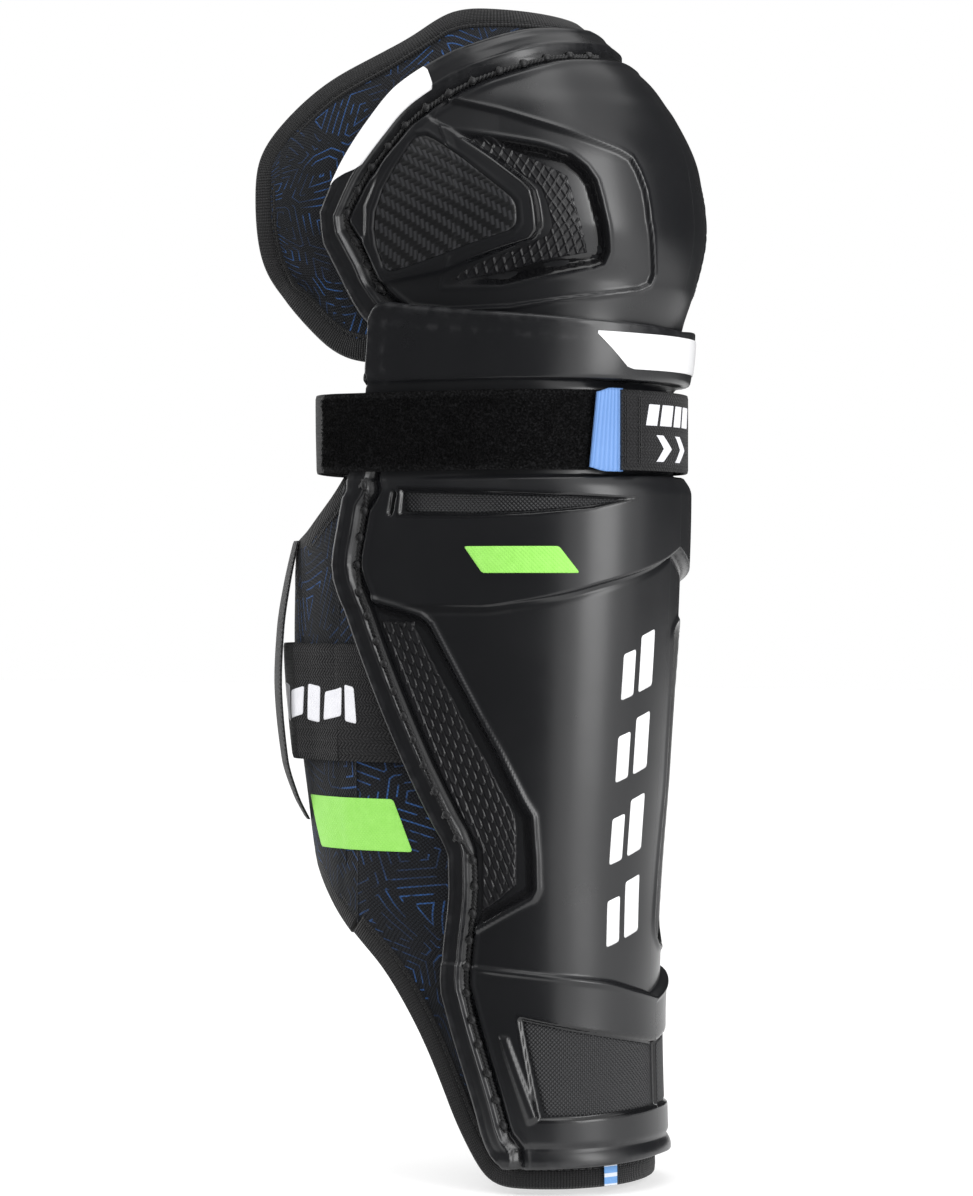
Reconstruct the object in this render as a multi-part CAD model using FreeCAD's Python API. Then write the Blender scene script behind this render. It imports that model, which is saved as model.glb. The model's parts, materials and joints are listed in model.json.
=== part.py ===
"""Right-leg hockey shin guard: rigid shin and knee caps over padded liners, with calf wings and two straps.

Millimetres. +X is the front (shin side), +Y the wearer's left (inner side), -Y the outer side, +Z up.
The origin is on the leg axis at the level of the guard's lowest edge.
Every piece is a thin slab between two smooth skins that are laid out on the plan section of the guard.
"""
import FreeCAD
import Part

import math
import os

# ---------------------------------------------------------------- driving dimensions
CAP_WALL = 3.0            # moulded plastic caps
LINER_LIFT = -(CAP_WALL + 0.5)   # outer face of the liners, measured from the caps' outer face
SHIN_FOAM = 6.5
KNEE_FOAM = 7.5
WING_FOAM = 7.0
BINDING = 6.0             # width of the edge binding
BINDING_WALL = 7.5        # thickness of the bound edge
WEBBING = 1.6             # strap thickness
HOOK = 1.0                # hook patch thickness
STITCH_R = 1.0
STITCH_PITCH = 10.0
SEAM_MARGIN = 9.5         # from a cap's rear edge to its seam
WING_HINGE_X = -48.0      # upright fold lines of the calf wings
HINGE_GAP = 0.5           # each side of a fold line
WING_SWEEP = 64.0         # degrees of the calf curve covered by WING_RUN
WING_RUN = 62.0
STRAP_AIR = 1.0           # between the upper strap and the shin cap
UPPER_STRAP = (270.5, 300.5)     # lower and upper edge of the 30 mm strap
LOWER_STRAP = (160.0, 205.0)     # 45 mm strap
WRAP_X = -20.0            # behind this line the liner curves round the calf
TAPER = 0.03              # how much the side walls close in over WALL_RUN
WALL_RUN = 60.0
CHANNEL_START = 0.70      # share of the shin cap's height below the strap channel's lower edge

# Profiles are (height, value) pairs joined by a smooth curve.
SHIN_FRONT = [(0, 64.5), (20, 64.5), (60, 65), (70, 62.8), (110, 63.8), (222, 70.5), (240, 71.5),
              (249, 74.5), (260, 75), (269, 68), (302, 67.5), (311, 75), (324, 77.5), (340, 78)]
SHIN_HALF = [(0, 45.5), (65, 46.5), (140, 50), (220, 53.5), (240, 54.5), (252, 56.5), (262, 57),
             (269, 53.5), (302, 54), (311, 58.5), (324, 59.5), (340, 60)]
LINER_FRONT = [(0, 64.3), (20, 64.3), (60, 62.4), (110, 63.2), (222, 69), (262, 67.6), (340, 67)]
LINER_HALF = [(0, 45.5), (65, 46.5), (140, 50), (220, 53.2), (340, 53.3)]
SHIN_CENTRE = [(0, 23.5), (80, 19), (140, 17), (340, 16.5)]
SHIN_REAR = [(0, 18.5), (24, 12.5), (68, -1.4), (76, -3.3), (88, -2.5), (115, 0.8), (126, 0.8),
             (134, -3.7), (160, -17.4), (215, -40.5), (234, -46.7), (252, -43.6), (304, -31.7), (340, -28)]
KNEE_FRONT = [(308, 70), (322, 71.5), (327, 72.7), (340, 77.3), (363, 81.1), (385, 78.6), (407, 69),
              (424, 54.5), (433, 45), (443, 34)]
KNEE_HALF = [(308, 52), (340, 53), (350, 57.5), (362, 63), (372, 64.5), (385, 64), (405, 60), (425, 52),
             (436, 45), (443, 41)]
KNEE_CENTRE = [(308, 16), (365, 16), (405, 9), (425, 4), (443, -3)]
# Edges are (distance behind the widest line or |w|, height) pairs.
SHIN_TOP_EDGE = [(0, 324), (0.5, 326.5), (1, 330), (1.6, 333), (1.85, 334.5), (1.95, 333), (2, 329)]
SHIN_BOTTOM_EDGE = [(0, 10.3), (0.5, 9.2), (1, 8.4), (1.3, 10), (1.65, 12.5), (1.9, 16), (2, 21)]
KNEE_TOP_EDGE = [(0, 441), (0.5, 438), (1, 428.5), (1.45, 416), (1.66, 403), (1.86, 386), (2, 369)]
KNEE_BOTTOM_EDGE = [(0, 312), (1, 314), (1.5, 318), (1.76, 327), (1.9, 339), (2, 357)]
KNEE_REAR_X = -46.8
GRIP_FRONT = [(104, 1.06), (208, 1.35)]     # |w| of the grip's front edge
GRIP_MARGIN = 13.0        # from the cap's rear edge to the grip
# Liner outlines on the side walls.
LINER_EDGE = [(0, 22), (6, 17), (26, 5), (41, -1.5), (55, -8), (70, -16.5), (85, -27), (98, -41),
              (104, WING_HINGE_X + HINGE_GAP), (258, WING_HINGE_X + HINGE_GAP), (266, -44), (272, -38),
              (304, -30)]
KNEE_LINER_BOTTOM = [(-79, 370), (-74, 354), (-60, 333), (-42, 319), (-20, 318), (10, 318), (90, 318)]
KNEE_LINER_TOP = [(-79, 376), (-72, 390), (-60, 404), (-44, 416), (-28, 423), (-10, 431), (8, 441)]
KNEE_LINER_REAR = -72.5
WRAP_DEPTH = [(60, 50), (115, 55), (145, 59.5), (185, 64), (220, 65.3), (245, 64), (262, 57)]
WING_BOTTOM = [(0, 103), (10, 113), (25, 121), (45, 128), (70, 133)]
WING_TOP = [(0, 258), (10, 251), (20, 244), (40, 240), (70, 236)]
OUTER_WING_LENGTH = 52.0
INNER_WING_LENGTH = 42.5
LINER_BOTTOM = [(0, 6.5), (1, 5), (2, 6)]     # |w| and height
LINER_TOP = 303.0
KNEE_LINER_LOW = 319.0    # lower edge at the front, inside the collar
KNEE_LINER_HIGH = [(0, 439), (0.5, 440), (1, 441)]
PAD_HEIGHTS = (335, 408)
PAD_SPREAD = 0.62         # |w| of the pad's ends
PAD_FOAM = 9.0
VENT_HEIGHTS = (92, 208)
VENT_W = (0.03, 0.29)
BAR_LOWS = (93, 122, 151, 180)
BAR_LENGTH = 24
BAR_W = (0.34, 0.46)
BAR_SLANT = 18            # rise of a bar per unit of w
SEAT = 0.1                # air behind inserts and badges
SEWN = 0.05               # air between a liner and its sewn binding
KEEPER_LIFT = [(138, 0.3), (150, 4.6), (165, 6.4), (200, 6.4), (215, 4.8), (243, 0.3)]


def smooth(table, value):
    """Monotone cubic curve through (position, value) pairs, flat beyond the ends."""
    xs = [p[0] for p in table]
    ys = [p[1] for p in table]
    value = min(max(value, xs[0]), xs[-1])
    steps = [b - a for a, b in zip(xs, xs[1:])]
    slopes = [(b - a) / h for a, b, h in zip(ys, ys[1:], steps)]
    tangents = [slopes[0]] + [0.0] * (len(xs) - 2) + [slopes[-1]]
    for i in range(1, len(xs) - 1):
        if slopes[i - 1] * slopes[i] > 0:
            w1 = 2 * steps[i] + steps[i - 1]
            w2 = steps[i] + 2 * steps[i - 1]
            tangents[i] = (w1 + w2) / (w1 / slopes[i - 1] + w2 / slopes[i])
    i = 0
    while i < len(steps) - 1 and value > xs[i + 1]:
        i += 1
    t = (value - xs[i]) / steps[i]
    return ((2 * t**3 - 3 * t**2 + 1) * ys[i] + (t**3 - 2 * t**2 + t) * steps[i] * tangents[i]
            + (3 * t**2 - 2 * t**3) * ys[i + 1] + (t**3 - t**2) * steps[i] * tangents[i + 1])


def between(start, end, t):
    return start + (end - start) * t


# ---------------------------------------------------------------- plan sections
def front_point(profiles, w, z, lift):
    """Front half of a section: w from -1 to 1 runs along a half-ellipse, lift is outward."""
    front, half, centre = profiles
    xc = smooth(centre, z)
    angle = math.radians(90 * w)
    return FreeCAD.Vector(xc + (smooth(front, z) - xc + lift) * math.cos(angle),
                          (smooth(half, z) + lift) * math.sin(angle), z)


def wall_y(profiles, x, z):
    back = (smooth(profiles[2], z) - x) / WALL_RUN
    return smooth(profiles[1], z) * (1 - TAPER * back * back)


def wall_point(profiles, x, z, lift, side):
    """Side wall behind the widest line; side is -1 for the outer side and 1 for the inner side."""
    return FreeCAD.Vector(x, side * (wall_y(profiles, x, z) + lift), z)


SHIN = (SHIN_FRONT, SHIN_HALF, SHIN_CENTRE)
LINER = (LINER_FRONT, LINER_HALF, SHIN_CENTRE)
KNEE = (KNEE_FRONT, KNEE_HALF, KNEE_CENTRE)


def section_point(profiles, w, z, lift, rear_x):
    """w from -2 to 2 along the whole U, with |w| of 2 at rear_x."""
    if abs(w) <= 1:
        return front_point(profiles, w, z, lift)
    xc = smooth(profiles[2], z)
    return wall_point(profiles, between(xc, rear_x, abs(w) - 1), z, lift, math.copysign(1, w))


def shin_cap_point(w, t, lift):
    z = between(smooth(SHIN_BOTTOM_EDGE, abs(w)), smooth(SHIN_TOP_EDGE, abs(w)), t)
    return section_point(SHIN, w, z, lift, smooth(SHIN_REAR, z))


def knee_cap_point(w, t, lift):
    z = between(smooth(KNEE_BOTTOM_EDGE, abs(w)), smooth(KNEE_TOP_EDGE, abs(w)), t)
    return section_point(KNEE, w, z, lift, KNEE_REAR_X)


def wrap_point(phi, z, lift, side):
    """Liner skin behind WRAP_X: a quarter ellipse from the side wall to the middle of the calf."""
    angle = math.radians(phi)
    depth = smooth(WRAP_DEPTH, z) + lift
    half = wall_y(LINER, WRAP_X, z) + LINER_LIFT + lift
    return FreeCAD.Vector(WRAP_X - depth * math.sin(angle), side * half * math.cos(angle), z)


def wrap_angle(x, z, lift=0.0):
    return math.degrees(math.asin((WRAP_X - x) / (smooth(WRAP_DEPTH, z) + lift)))


def liner_wall_point(x, z, lift, side):
    """Shin liner skin at a distance x, curved behind WRAP_X."""
    if x >= WRAP_X:
        return wall_point(LINER, x, z, LINER_LIFT + lift, side)
    return wrap_point(wrap_angle(x, z, lift), z, lift, side)


def wing_point(run, z, lift, side):
    """Calf wing skin, run millimetres behind the fold line."""
    start = wrap_angle(WING_HINGE_X - HINGE_GAP, z, lift)
    return wrap_point(start + run / WING_RUN * WING_SWEEP, z, lift, side)


# ---------------------------------------------------------------- solids
def slab(outer, inner):
    """Closed solid between two skins given as equal grids of points."""
    skins = []
    for grid in (outer, inner):
        surface = Part.BSplineSurface()
        surface.interpolate(grid)
        skins.append(surface)
    faces = [surface.toShape() for surface in skins]
    u0, u1, v0, v1 = skins[0].bounds()
    p0, p1, q0, q1 = skins[1].bounds()
    rims = [(skins[0].uIso(u0), skins[1].uIso(p0)), (skins[0].uIso(u1), skins[1].uIso(p1)),
            (skins[0].vIso(v0), skins[1].vIso(q0)), (skins[0].vIso(v1), skins[1].vIso(q1))]
    for edge_a, edge_b in rims:
        rails = [Part.Wire(edge.toShape()) for edge in (edge_a, edge_b)]
        faces += Part.makeLoft(rails, False, True).Faces
    shell = Part.makeShell(faces)
    shell.sewShape()
    solid = Part.makeSolid(shell)
    if solid.Volume < 0:
        solid.reverse()
    return solid


def panel(point, u_range, v_range, lifts, counts):
    """Slab whose skins are point(u, v, lift) at the two lifts."""
    nu, nv = counts
    us = [between(u_range[0], u_range[1], i / (nu - 1)) for i in range(nu)]
    vs = [between(v_range[0], v_range[1], j / (nv - 1)) for j in range(nv)]
    grids = [[[point(u, v, lift) for v in vs] for u in us] for lift in lifts]
    return slab(grids[0], grids[1])


def save(name, solids):
    shape = solids if isinstance(solids, Part.Shape) else Part.makeCompound(solids)
    for solid in shape.Solids:
        if not solid.isValid() or solid.Volume <= 0:
            print("BAD", name, solid.Volume)
    shape.exportStep(os.path.join("parts", name + ".step"))
    print(f"{name:26s} {len(shape.Solids):3d} solids {shape.Volume:10.0f} mm3")


SIDES = (("outer", -1), ("inner", 1))


# ---------------------------------------------------------------- shin cap and what is moulded into it
def shin_cap():
    """Rows are closer together where the strap channel and the collar change the section quickly."""
    rows = [i / 20 * CHANNEL_START for i in range(20)]
    rows += [between(CHANNEL_START, 1, i / 20) for i in range(21)]
    columns = [between(-2, 2, i / 40) for i in range(41)]
    grids = [[[shin_cap_point(w, t, lift) for t in rows] for w in columns] for lift in (0, -CAP_WALL)]
    return slab(grids[0], grids[1])


def on_shin(outline_low, outline_high, w_range, lifts, counts, flip):
    """Insert on the shin cap between two (|w|, height) curves; flip is the side."""
    def point(w, t, lift):
        z = between(smooth(outline_low, w), smooth(outline_high, w), t)
        return section_point(SHIN, flip * w, z, lift, smooth(SHIN_REAR, z))
    return panel(point, w_range, (0, 1), lifts, counts)


def shin_grip(side):
    """Textured panel in the hollow along the rear of the side wall."""
    def point(z, t, lift):
        rear_x = smooth(SHIN_REAR, z)
        rear_w = 2 - GRIP_MARGIN / (smooth(SHIN_CENTRE, z) - rear_x)
        return section_point(SHIN, side * between(rear_w, smooth(GRIP_FRONT, z), t), z, lift, rear_x)
    return panel(point, (106, 208), (0, 1), (1.0, SEAT), (15, 5))


def ankle_panel(side):
    low = [(0.1, 22), (1.1, 18)]
    high = [(0.1, 47), (1.1, 55)]
    return on_shin(low, high, (0.12, 1.05), (0.9, SEAT), (11, 4), side)


def upper_vent(side):
    low = [(0.2, 254), (1.6, 253)]
    high = [(0.2, 257), (1.0, 260), (1.6, 262)]
    return on_shin(low, high, (0.3, 1.5), (0.9, SEAT), (13, 3), side)


def front_vent():
    def point(w, z, lift):
        return front_point(SHIN, w, z, lift)
    return panel(point, VENT_W, VENT_HEIGHTS, (1.2, SEAT), (6, 13))


def collar_badge():
    def point(w, t, lift):
        z = between(smooth([(-0.6, 320), (-0.42, 309.5), (0.42, 309.5), (0.6, 320)], w), 321.5, t)
        return front_point(SHIN, w, z, lift)
    return panel(point, (-0.56, 0.56), (0, 1), (0.9, SEAT), (13, 4))


def side_bars(side):
    """Row of plain slanted bars beside the front vent."""
    bars = []
    for low in BAR_LOWS:
        def point(w, t, lift, low=low):
            z = low + BAR_LENGTH * t + BAR_SLANT * (w - BAR_W[1])
            return front_point(SHIN, side * w, z, lift)
        bars.append(panel(point, BAR_W, (0, 1), (1.1, SEAT), (4, 5)))
    return bars


def knots(point_at, count, lift):
    """Lock stitches: short round knots along a seam."""
    solids = []
    for i in range(count):
        here = point_at(i, lift)
        ahead = point_at(i + 0.3, lift)
        solids.append(Part.makeCylinder(STITCH_R, 3.2, here, ahead - here))
    return solids


def shin_stitching():
    """Seam along each rear edge, left out where the upper strap lies over it."""
    def seam(side, start):
        def at(i, lift):
            z = start + STITCH_PITCH * 0.95 * i
            return wall_point(SHIN, smooth(SHIN_REAR, z) + SEAM_MARGIN, z, lift, side)
        return at
    solids = []
    for _, side in SIDES:
        solids += knots(seam(side, 30), 24, STITCH_R + 0.3)
        solids += knots(seam(side, 312), 2, STITCH_R + 0.3)
    return solids


# ---------------------------------------------------------------- shin liner
def shin_liner_point(w, t, lift):
    z = between(smooth(LINER_BOTTOM, abs(w)), LINER_TOP, t)
    if abs(w) <= 1:
        return front_point(LINER, w, z, LINER_LIFT + lift)
    x = between(smooth(SHIN_CENTRE, z), smooth(LINER_EDGE, z), abs(w) - 1)
    return liner_wall_point(x, z, lift, math.copysign(1, w))


def shin_liner():
    return panel(shin_liner_point, (-2, 2), (0, 1), (0, -SHIN_FOAM), (45, 33))


def shin_liner_binding():
    """Bound lower edge and the two rear edges up to the wings."""
    def bottom(w, t, lift):
        z = between(0.4, smooth(LINER_BOTTOM, abs(w)) - SEWN, t)
        if abs(w) <= 1:
            return front_point(LINER, w, z, LINER_LIFT + lift)
        x = between(smooth(SHIN_CENTRE, z), smooth(LINER_EDGE, z), abs(w) - 1)
        return liner_wall_point(x, z, lift, math.copysign(1, w))

    def rear(side):
        def point(t, z, lift):
            x = smooth(LINER_EDGE, z) - SEWN - t * BINDING
            return liner_wall_point(x, z, lift, side)
        return point
    lifts = (0.0, -BINDING_WALL)
    solids = [panel(bottom, (-2, 2), (0, 1), lifts, (31, 3))]
    for _, side in SIDES:
        solids.append(panel(rear(side), (0, 1), (0.4, 94), lifts, (3, 13)))
    return solids


def size_label():
    """Small sewn tag that hangs over the bound lower edge at the front."""
    def point(w, z, lift):
        return front_point(LINER, w, z, LINER_LIFT + lift)
    return panel(point, (-0.4, -0.3), (1.5, 8.5), (1.0, SEAT), (3, 3))


# ---------------------------------------------------------------- knee
def knee_cap():
    return panel(knee_cap_point, (-2, 2), (0, 1), (0, -CAP_WALL), (41, 29))


def knee_insert(side):
    """Faceted side plate of the knee cap."""
    low = [(0.78, 358), (0.9, 354), (1.2, 343), (1.5, 338), (1.62, 341)]
    high = [(0.78, 372), (0.9, 376), (1.2, 393), (1.36, 399), (1.62, 372)]

    def point(w, t, lift):
        z = between(smooth(low, w), smooth(high, w), t)
        return section_point(KNEE, side * w, z, lift, KNEE_REAR_X)
    return panel(point, (0.8, 1.6), (0, 1), (2.2, SEAT), (21, 6))


def knee_badge(side):
    """Plain badge on the rear flange."""
    def point(w, t, lift):
        z = smooth(KNEE_TOP_EDGE, w) - between(1.5, 8.0, t)
        return section_point(KNEE, side * w, z, lift, KNEE_REAR_X)
    return panel(point, (1.55, 1.93), (0, 1), (0.9, SEAT), (13, 4))


def knee_stitching():
    def seam(side):
        def at(i, lift):
            w = 1.80 - 0.0485 * i
            if w > 1:
                z = smooth(KNEE_TOP_EDGE, w) - 9
            else:
                z = smooth(KNEE_TOP_EDGE, w) - 7
            return section_point(KNEE, side * w, z, lift, KNEE_REAR_X)
        return at
    return [k for _, side in SIDES for k in knots(seam(side), 28, STITCH_R + 0.3)]


def knee_liner_point(w, t, lift):
    if abs(w) <= 1:
        z = between(KNEE_LINER_LOW, smooth(KNEE_LINER_HIGH, abs(w)), t)
        return front_point(KNEE, w, z, LINER_LIFT + lift)
    run = abs(w) - 1
    x = between(9, KNEE_LINER_REAR, run)
    z = between(smooth(KNEE_LINER_BOTTOM, x), smooth(KNEE_LINER_TOP, x), t)
    x = between(smooth(KNEE_CENTRE, z), KNEE_LINER_REAR, run)
    return wall_point(KNEE, x, z, LINER_LIFT + lift, math.copysign(1, w))


def knee_liner():
    return panel(knee_liner_point, (-2, 2), (0, 1), (0, -KNEE_FOAM), (45, 25))


def knee_liner_binding():
    """Bound edge round the top and both rear lobes, sewn outside the liner's outline."""
    def top(w, t, lift):
        edge = knee_liner_point(w, 1, lift)
        return edge + FreeCAD.Vector(-0.35 * BINDING * t, 0, SEWN + BINDING * t * 0.9)

    def rear(side):
        def point(t, v, lift):
            edge = knee_liner_point(2 * side, v, lift)
            return edge + FreeCAD.Vector(-SEWN - BINDING * t, 0, 0)
        return point

    def low(side):
        def point(u, t, lift):
            edge = knee_liner_point(side * u, 0, lift)
            return edge + FreeCAD.Vector(-0.5 * BINDING * t, 0, -SEWN - 0.8 * BINDING * t)
        return point
    lifts = (0.0, -BINDING_WALL)
    stops = (-1.97, -1.5, -1.0, -0.5, 0.0, 0.5, 1.0, 1.5, 1.97)
    solids = [panel(top, span, (0, 1), lifts, (7, 3)) for span in zip(stops, stops[1:])]
    for _, side in SIDES:
        solids.append(panel(rear(side), (0, 1), (0, 1), lifts, (3, 4)))
        solids.append(panel(low(side), (1.62, 1.97), (0, 1), lifts, (9, 3)))
    return solids


def knee_pad():
    """Soft cup that rests on the kneecap, inside the liner."""
    def point(w, t, lift):
        z = between(PAD_HEIGHTS[0], PAD_HEIGHTS[1], t)
        return front_point(KNEE, w, z, LINER_LIFT - KNEE_FOAM - 2 * SEAT + lift)
    return panel(point, (-PAD_SPREAD, PAD_SPREAD), (0, 1), (0, -PAD_FOAM), (15, 9))


# ---------------------------------------------------------------- calf wings
def wing_pad(side, length):
    def point(run, t, lift):
        z = between(smooth(WING_BOTTOM, run), smooth(WING_TOP, run), t)
        return wing_point(run, z, lift, side)
    return panel(point, (0, length), (0, 1), (0, -WING_FOAM), (13, 13))


def wing_binding(side, length):
    def bottom(run, t, lift):
        z = smooth(WING_BOTTOM, run) - SEWN - BINDING * t
        return wing_point(run, z, lift, side)

    def top(run, t, lift):
        z = smooth(WING_TOP, run) + SEWN + BINDING * t
        return wing_point(run, z, lift, side)

    def tip(t, v, lift):
        run = length + SEWN + BINDING * t
        z = between(smooth(WING_BOTTOM, length), smooth(WING_TOP, length), v)
        return wing_point(run, z, lift, side)
    lifts = (0.0, -WING_FOAM)
    long_counts = (13, 3)
    return [panel(bottom, (0, length), (0, 1), lifts, long_counts),
            panel(top, (0, length), (0, 1), lifts, long_counts),
            panel(tip, (0, 1), (0, 1), lifts, (3, 9))]


def keeper_loop():
    """Upright webbing loop on the outer wing; the lower strap runs under it."""
    def point(run, z, lift):
        return wing_point(run, z, smooth(KEEPER_LIFT, z) + lift, -1)
    return panel(point, (30, 40), (138, 243), (1.3, 0.0), (4, 21))


def loop_patch():
    """Loop pile on the inner wing that the lower strap's hook patch closes on."""
    def point(run, z, lift):
        return wing_point(run, z, lift, 1)
    return panel(point, (4, 38), (LOWER_STRAP[0] + 3, LOWER_STRAP[1] - 3), (1.3, SEAT), (7, 5))


# ---------------------------------------------------------------- lower strap
TAIL_START = 43.0         # run on the outer wing where the free tail begins
TAIL_LIFT = 3.2


def lower_strap_anchor():
    """Fixed length from under the cap's flange to the outer wing's fold line."""
    def point(t, z, lift):
        x = between(smooth(SHIN_REAR, z) - 0.6, WING_HINGE_X + HINGE_GAP, t)
        return liner_wall_point(x, z, lift, -1)
    return panel(point, (0, 1), LOWER_STRAP, (0.4 + WEBBING, 0.4), (7, 7))


def strap_lift(run):
    return smooth([(0, 0.4), (12, 0.6), (28, TAIL_LIFT), (60, TAIL_LIFT)], run)


def lower_strap_wing():
    def point(run, z, lift):
        return wing_point(run, z, strap_lift(run) + lift, -1)
    return panel(point, (0, TAIL_START - HINGE_GAP), LOWER_STRAP, (WEBBING, 0.0), (13, 5))


def tail_point(s, z, lift):
    """Tail path from the outer wing, over the middle of the calf, to the inner side."""
    start = wrap_angle(WING_HINGE_X - HINGE_GAP, z, TAIL_LIFT) + TAIL_START / WING_RUN * WING_SWEEP
    phi = between(start, 180 - 30, s)
    if phi <= 90:
        return wrap_point(phi, z, TAIL_LIFT + lift, -1)
    return wrap_point(180 - phi, z, TAIL_LIFT + lift, 1)


def lower_strap_tail():
    return panel(tail_point, (0, 1), LOWER_STRAP, (WEBBING, 0.0), (21, 5))


def lower_hook_patch():
    z_range = (LOWER_STRAP[0] + 4, LOWER_STRAP[1] - 4)
    return panel(tail_point, (0.66, 0.97), z_range, (-SEAT, -SEAT - HOOK), (9, 4))


def lower_pull_tab():
    def point(s, z, lift):
        middle = 0.5 * (LOWER_STRAP[0] + LOWER_STRAP[1])
        return tail_point(s, between(z, middle, 0.2 * (s - 0.93) / 0.12), lift)
    return panel(point, (0.93, 1.05), (LOWER_STRAP[0] + 6, LOWER_STRAP[1] - 6),
                 (WEBBING + 1.0, WEBBING + SEAT), (6, 4))


# ---------------------------------------------------------------- upper strap
STRAP_BACK_X = -40.0
STRAP_BOW = 27.0
STRAP_END_W = (-0.40, 0.22)
STRAP_END_LIFT = 3.4


def ring_point(k, z, lift):
    """Upper strap path: k is 0 to -2 on the outer wall, to -4 round the calf and to -6 back to the front."""
    side = -1 if k > -3 else 1
    s = -k if k > -3 else 6 + k
    flat = 0.5 * (UPPER_STRAP[0] + UPPER_STRAP[1])
    if s <= 1:
        return front_point(SHIN, side * s, flat, lift) + FreeCAD.Vector(0, 0, z - flat)
    if s <= 2:
        x = between(smooth(SHIN_CENTRE, flat), STRAP_BACK_X, s - 1)
        return wall_point(SHIN, x, flat, lift, side) + FreeCAD.Vector(0, 0, z - flat)
    angle = math.radians(90 * (s - 2))
    half = wall_y(SHIN, STRAP_BACK_X, flat) + lift
    x = STRAP_BACK_X - (STRAP_BOW + lift) * math.sin(angle)
    return FreeCAD.Vector(x, side * half * math.cos(angle), z)


def upper_strap_loop():
    """Loop pile band on the outer side wall, from beside the front to just round the rear edge."""
    return panel(ring_point, (-0.30, -2.3), UPPER_STRAP, (STRAP_AIR + WEBBING, STRAP_AIR), (41, 3))


def upper_strap_back():
    """Elastic webbing round the calf and along the inner side wall to the front."""
    def point(k, z, lift):
        rise = smooth([(-6, 2.4), (-5.7, 2.4), (-5.3, 0), (-2, 0)], k)
        return ring_point(k, z, rise + lift)
    return panel(point, (-2.31, -5.74), UPPER_STRAP, (STRAP_AIR + WEBBING, STRAP_AIR), (61, 3))


def strap_end_point(w, z, lift):
    flat = 0.5 * (UPPER_STRAP[0] + UPPER_STRAP[1])
    return front_point(SHIN, w, flat, STRAP_END_LIFT + lift) + FreeCAD.Vector(0, 0, z - flat)


def upper_strap_end():
    return panel(strap_end_point, STRAP_END_W, UPPER_STRAP, (HOOK + SEAT + WEBBING, HOOK + SEAT), (15, 3))


def upper_hook_patch():
    z_range = (UPPER_STRAP[0] + 2, UPPER_STRAP[1] - 2)
    return panel(strap_end_point, (STRAP_END_W[0] + 0.01, -0.05), z_range, (HOOK, 0.0), (9, 3))


def upper_pull_tab():
    z_range = (UPPER_STRAP[0] + 1, UPPER_STRAP[1] - 1)
    w_range = (STRAP_END_W[0] - 0.085, STRAP_END_W[0] - 0.002)
    return panel(strap_end_point, w_range, z_range, (HOOK + 1.0, HOOK + SEAT), (4, 3))


def main():
    os.makedirs("parts", exist_ok=True)
    save("shin_cap", shin_cap())
    save("front_vent_panel", front_vent())
    save("collar_badge", collar_badge())
    save("side_bar_badges", side_bars(-1) + side_bars(1))
    save("upper_vent_panels", [upper_vent(side) for _, side in SIDES])
    save("ankle_panels", [ankle_panel(side) for _, side in SIDES])
    save("shin_stitching", shin_stitching())
    save("shin_liner", shin_liner())
    save("shin_liner_binding", shin_liner_binding())
    save("size_label", size_label())
    save("knee_cap", knee_cap())
    for name, side in SIDES:
        save(f"{name}_shin_grip", shin_grip(side))
        save(f"{name}_knee_insert", knee_insert(side))
        save(f"{name}_knee_badge", knee_badge(side))
    save("knee_stitching", knee_stitching())
    save("knee_liner", knee_liner())
    save("knee_liner_binding", knee_liner_binding())
    save("knee_pad", knee_pad())
    for (name, side), length in zip(SIDES, (OUTER_WING_LENGTH, INNER_WING_LENGTH)):
        save(f"{name}_wing_pad", wing_pad(side, length))
        save(f"{name}_wing_binding", wing_binding(side, length))
    save("keeper_loop", keeper_loop())
    save("wing_loop_patch", loop_patch())
    save("lower_strap_anchor", lower_strap_anchor())
    save("lower_strap_wing", lower_strap_wing())
    save("lower_strap_tail", lower_strap_tail())
    save("lower_hook_patch", lower_hook_patch())
    save("lower_pull_tab", lower_pull_tab())
    save("upper_strap_loop", upper_strap_loop())
    save("upper_strap_back", upper_strap_back())
    save("upper_strap_end", upper_strap_end())
    save("upper_hook_patch", upper_hook_patch())
    save("upper_pull_tab", upper_pull_tab())


main()
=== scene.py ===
"""Looks of the hockey shin guard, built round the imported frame.

Shapes are worked out in millimetres in the part's own frame and become metres when a mesh is made.
"""
import sys

import json
import math

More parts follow.
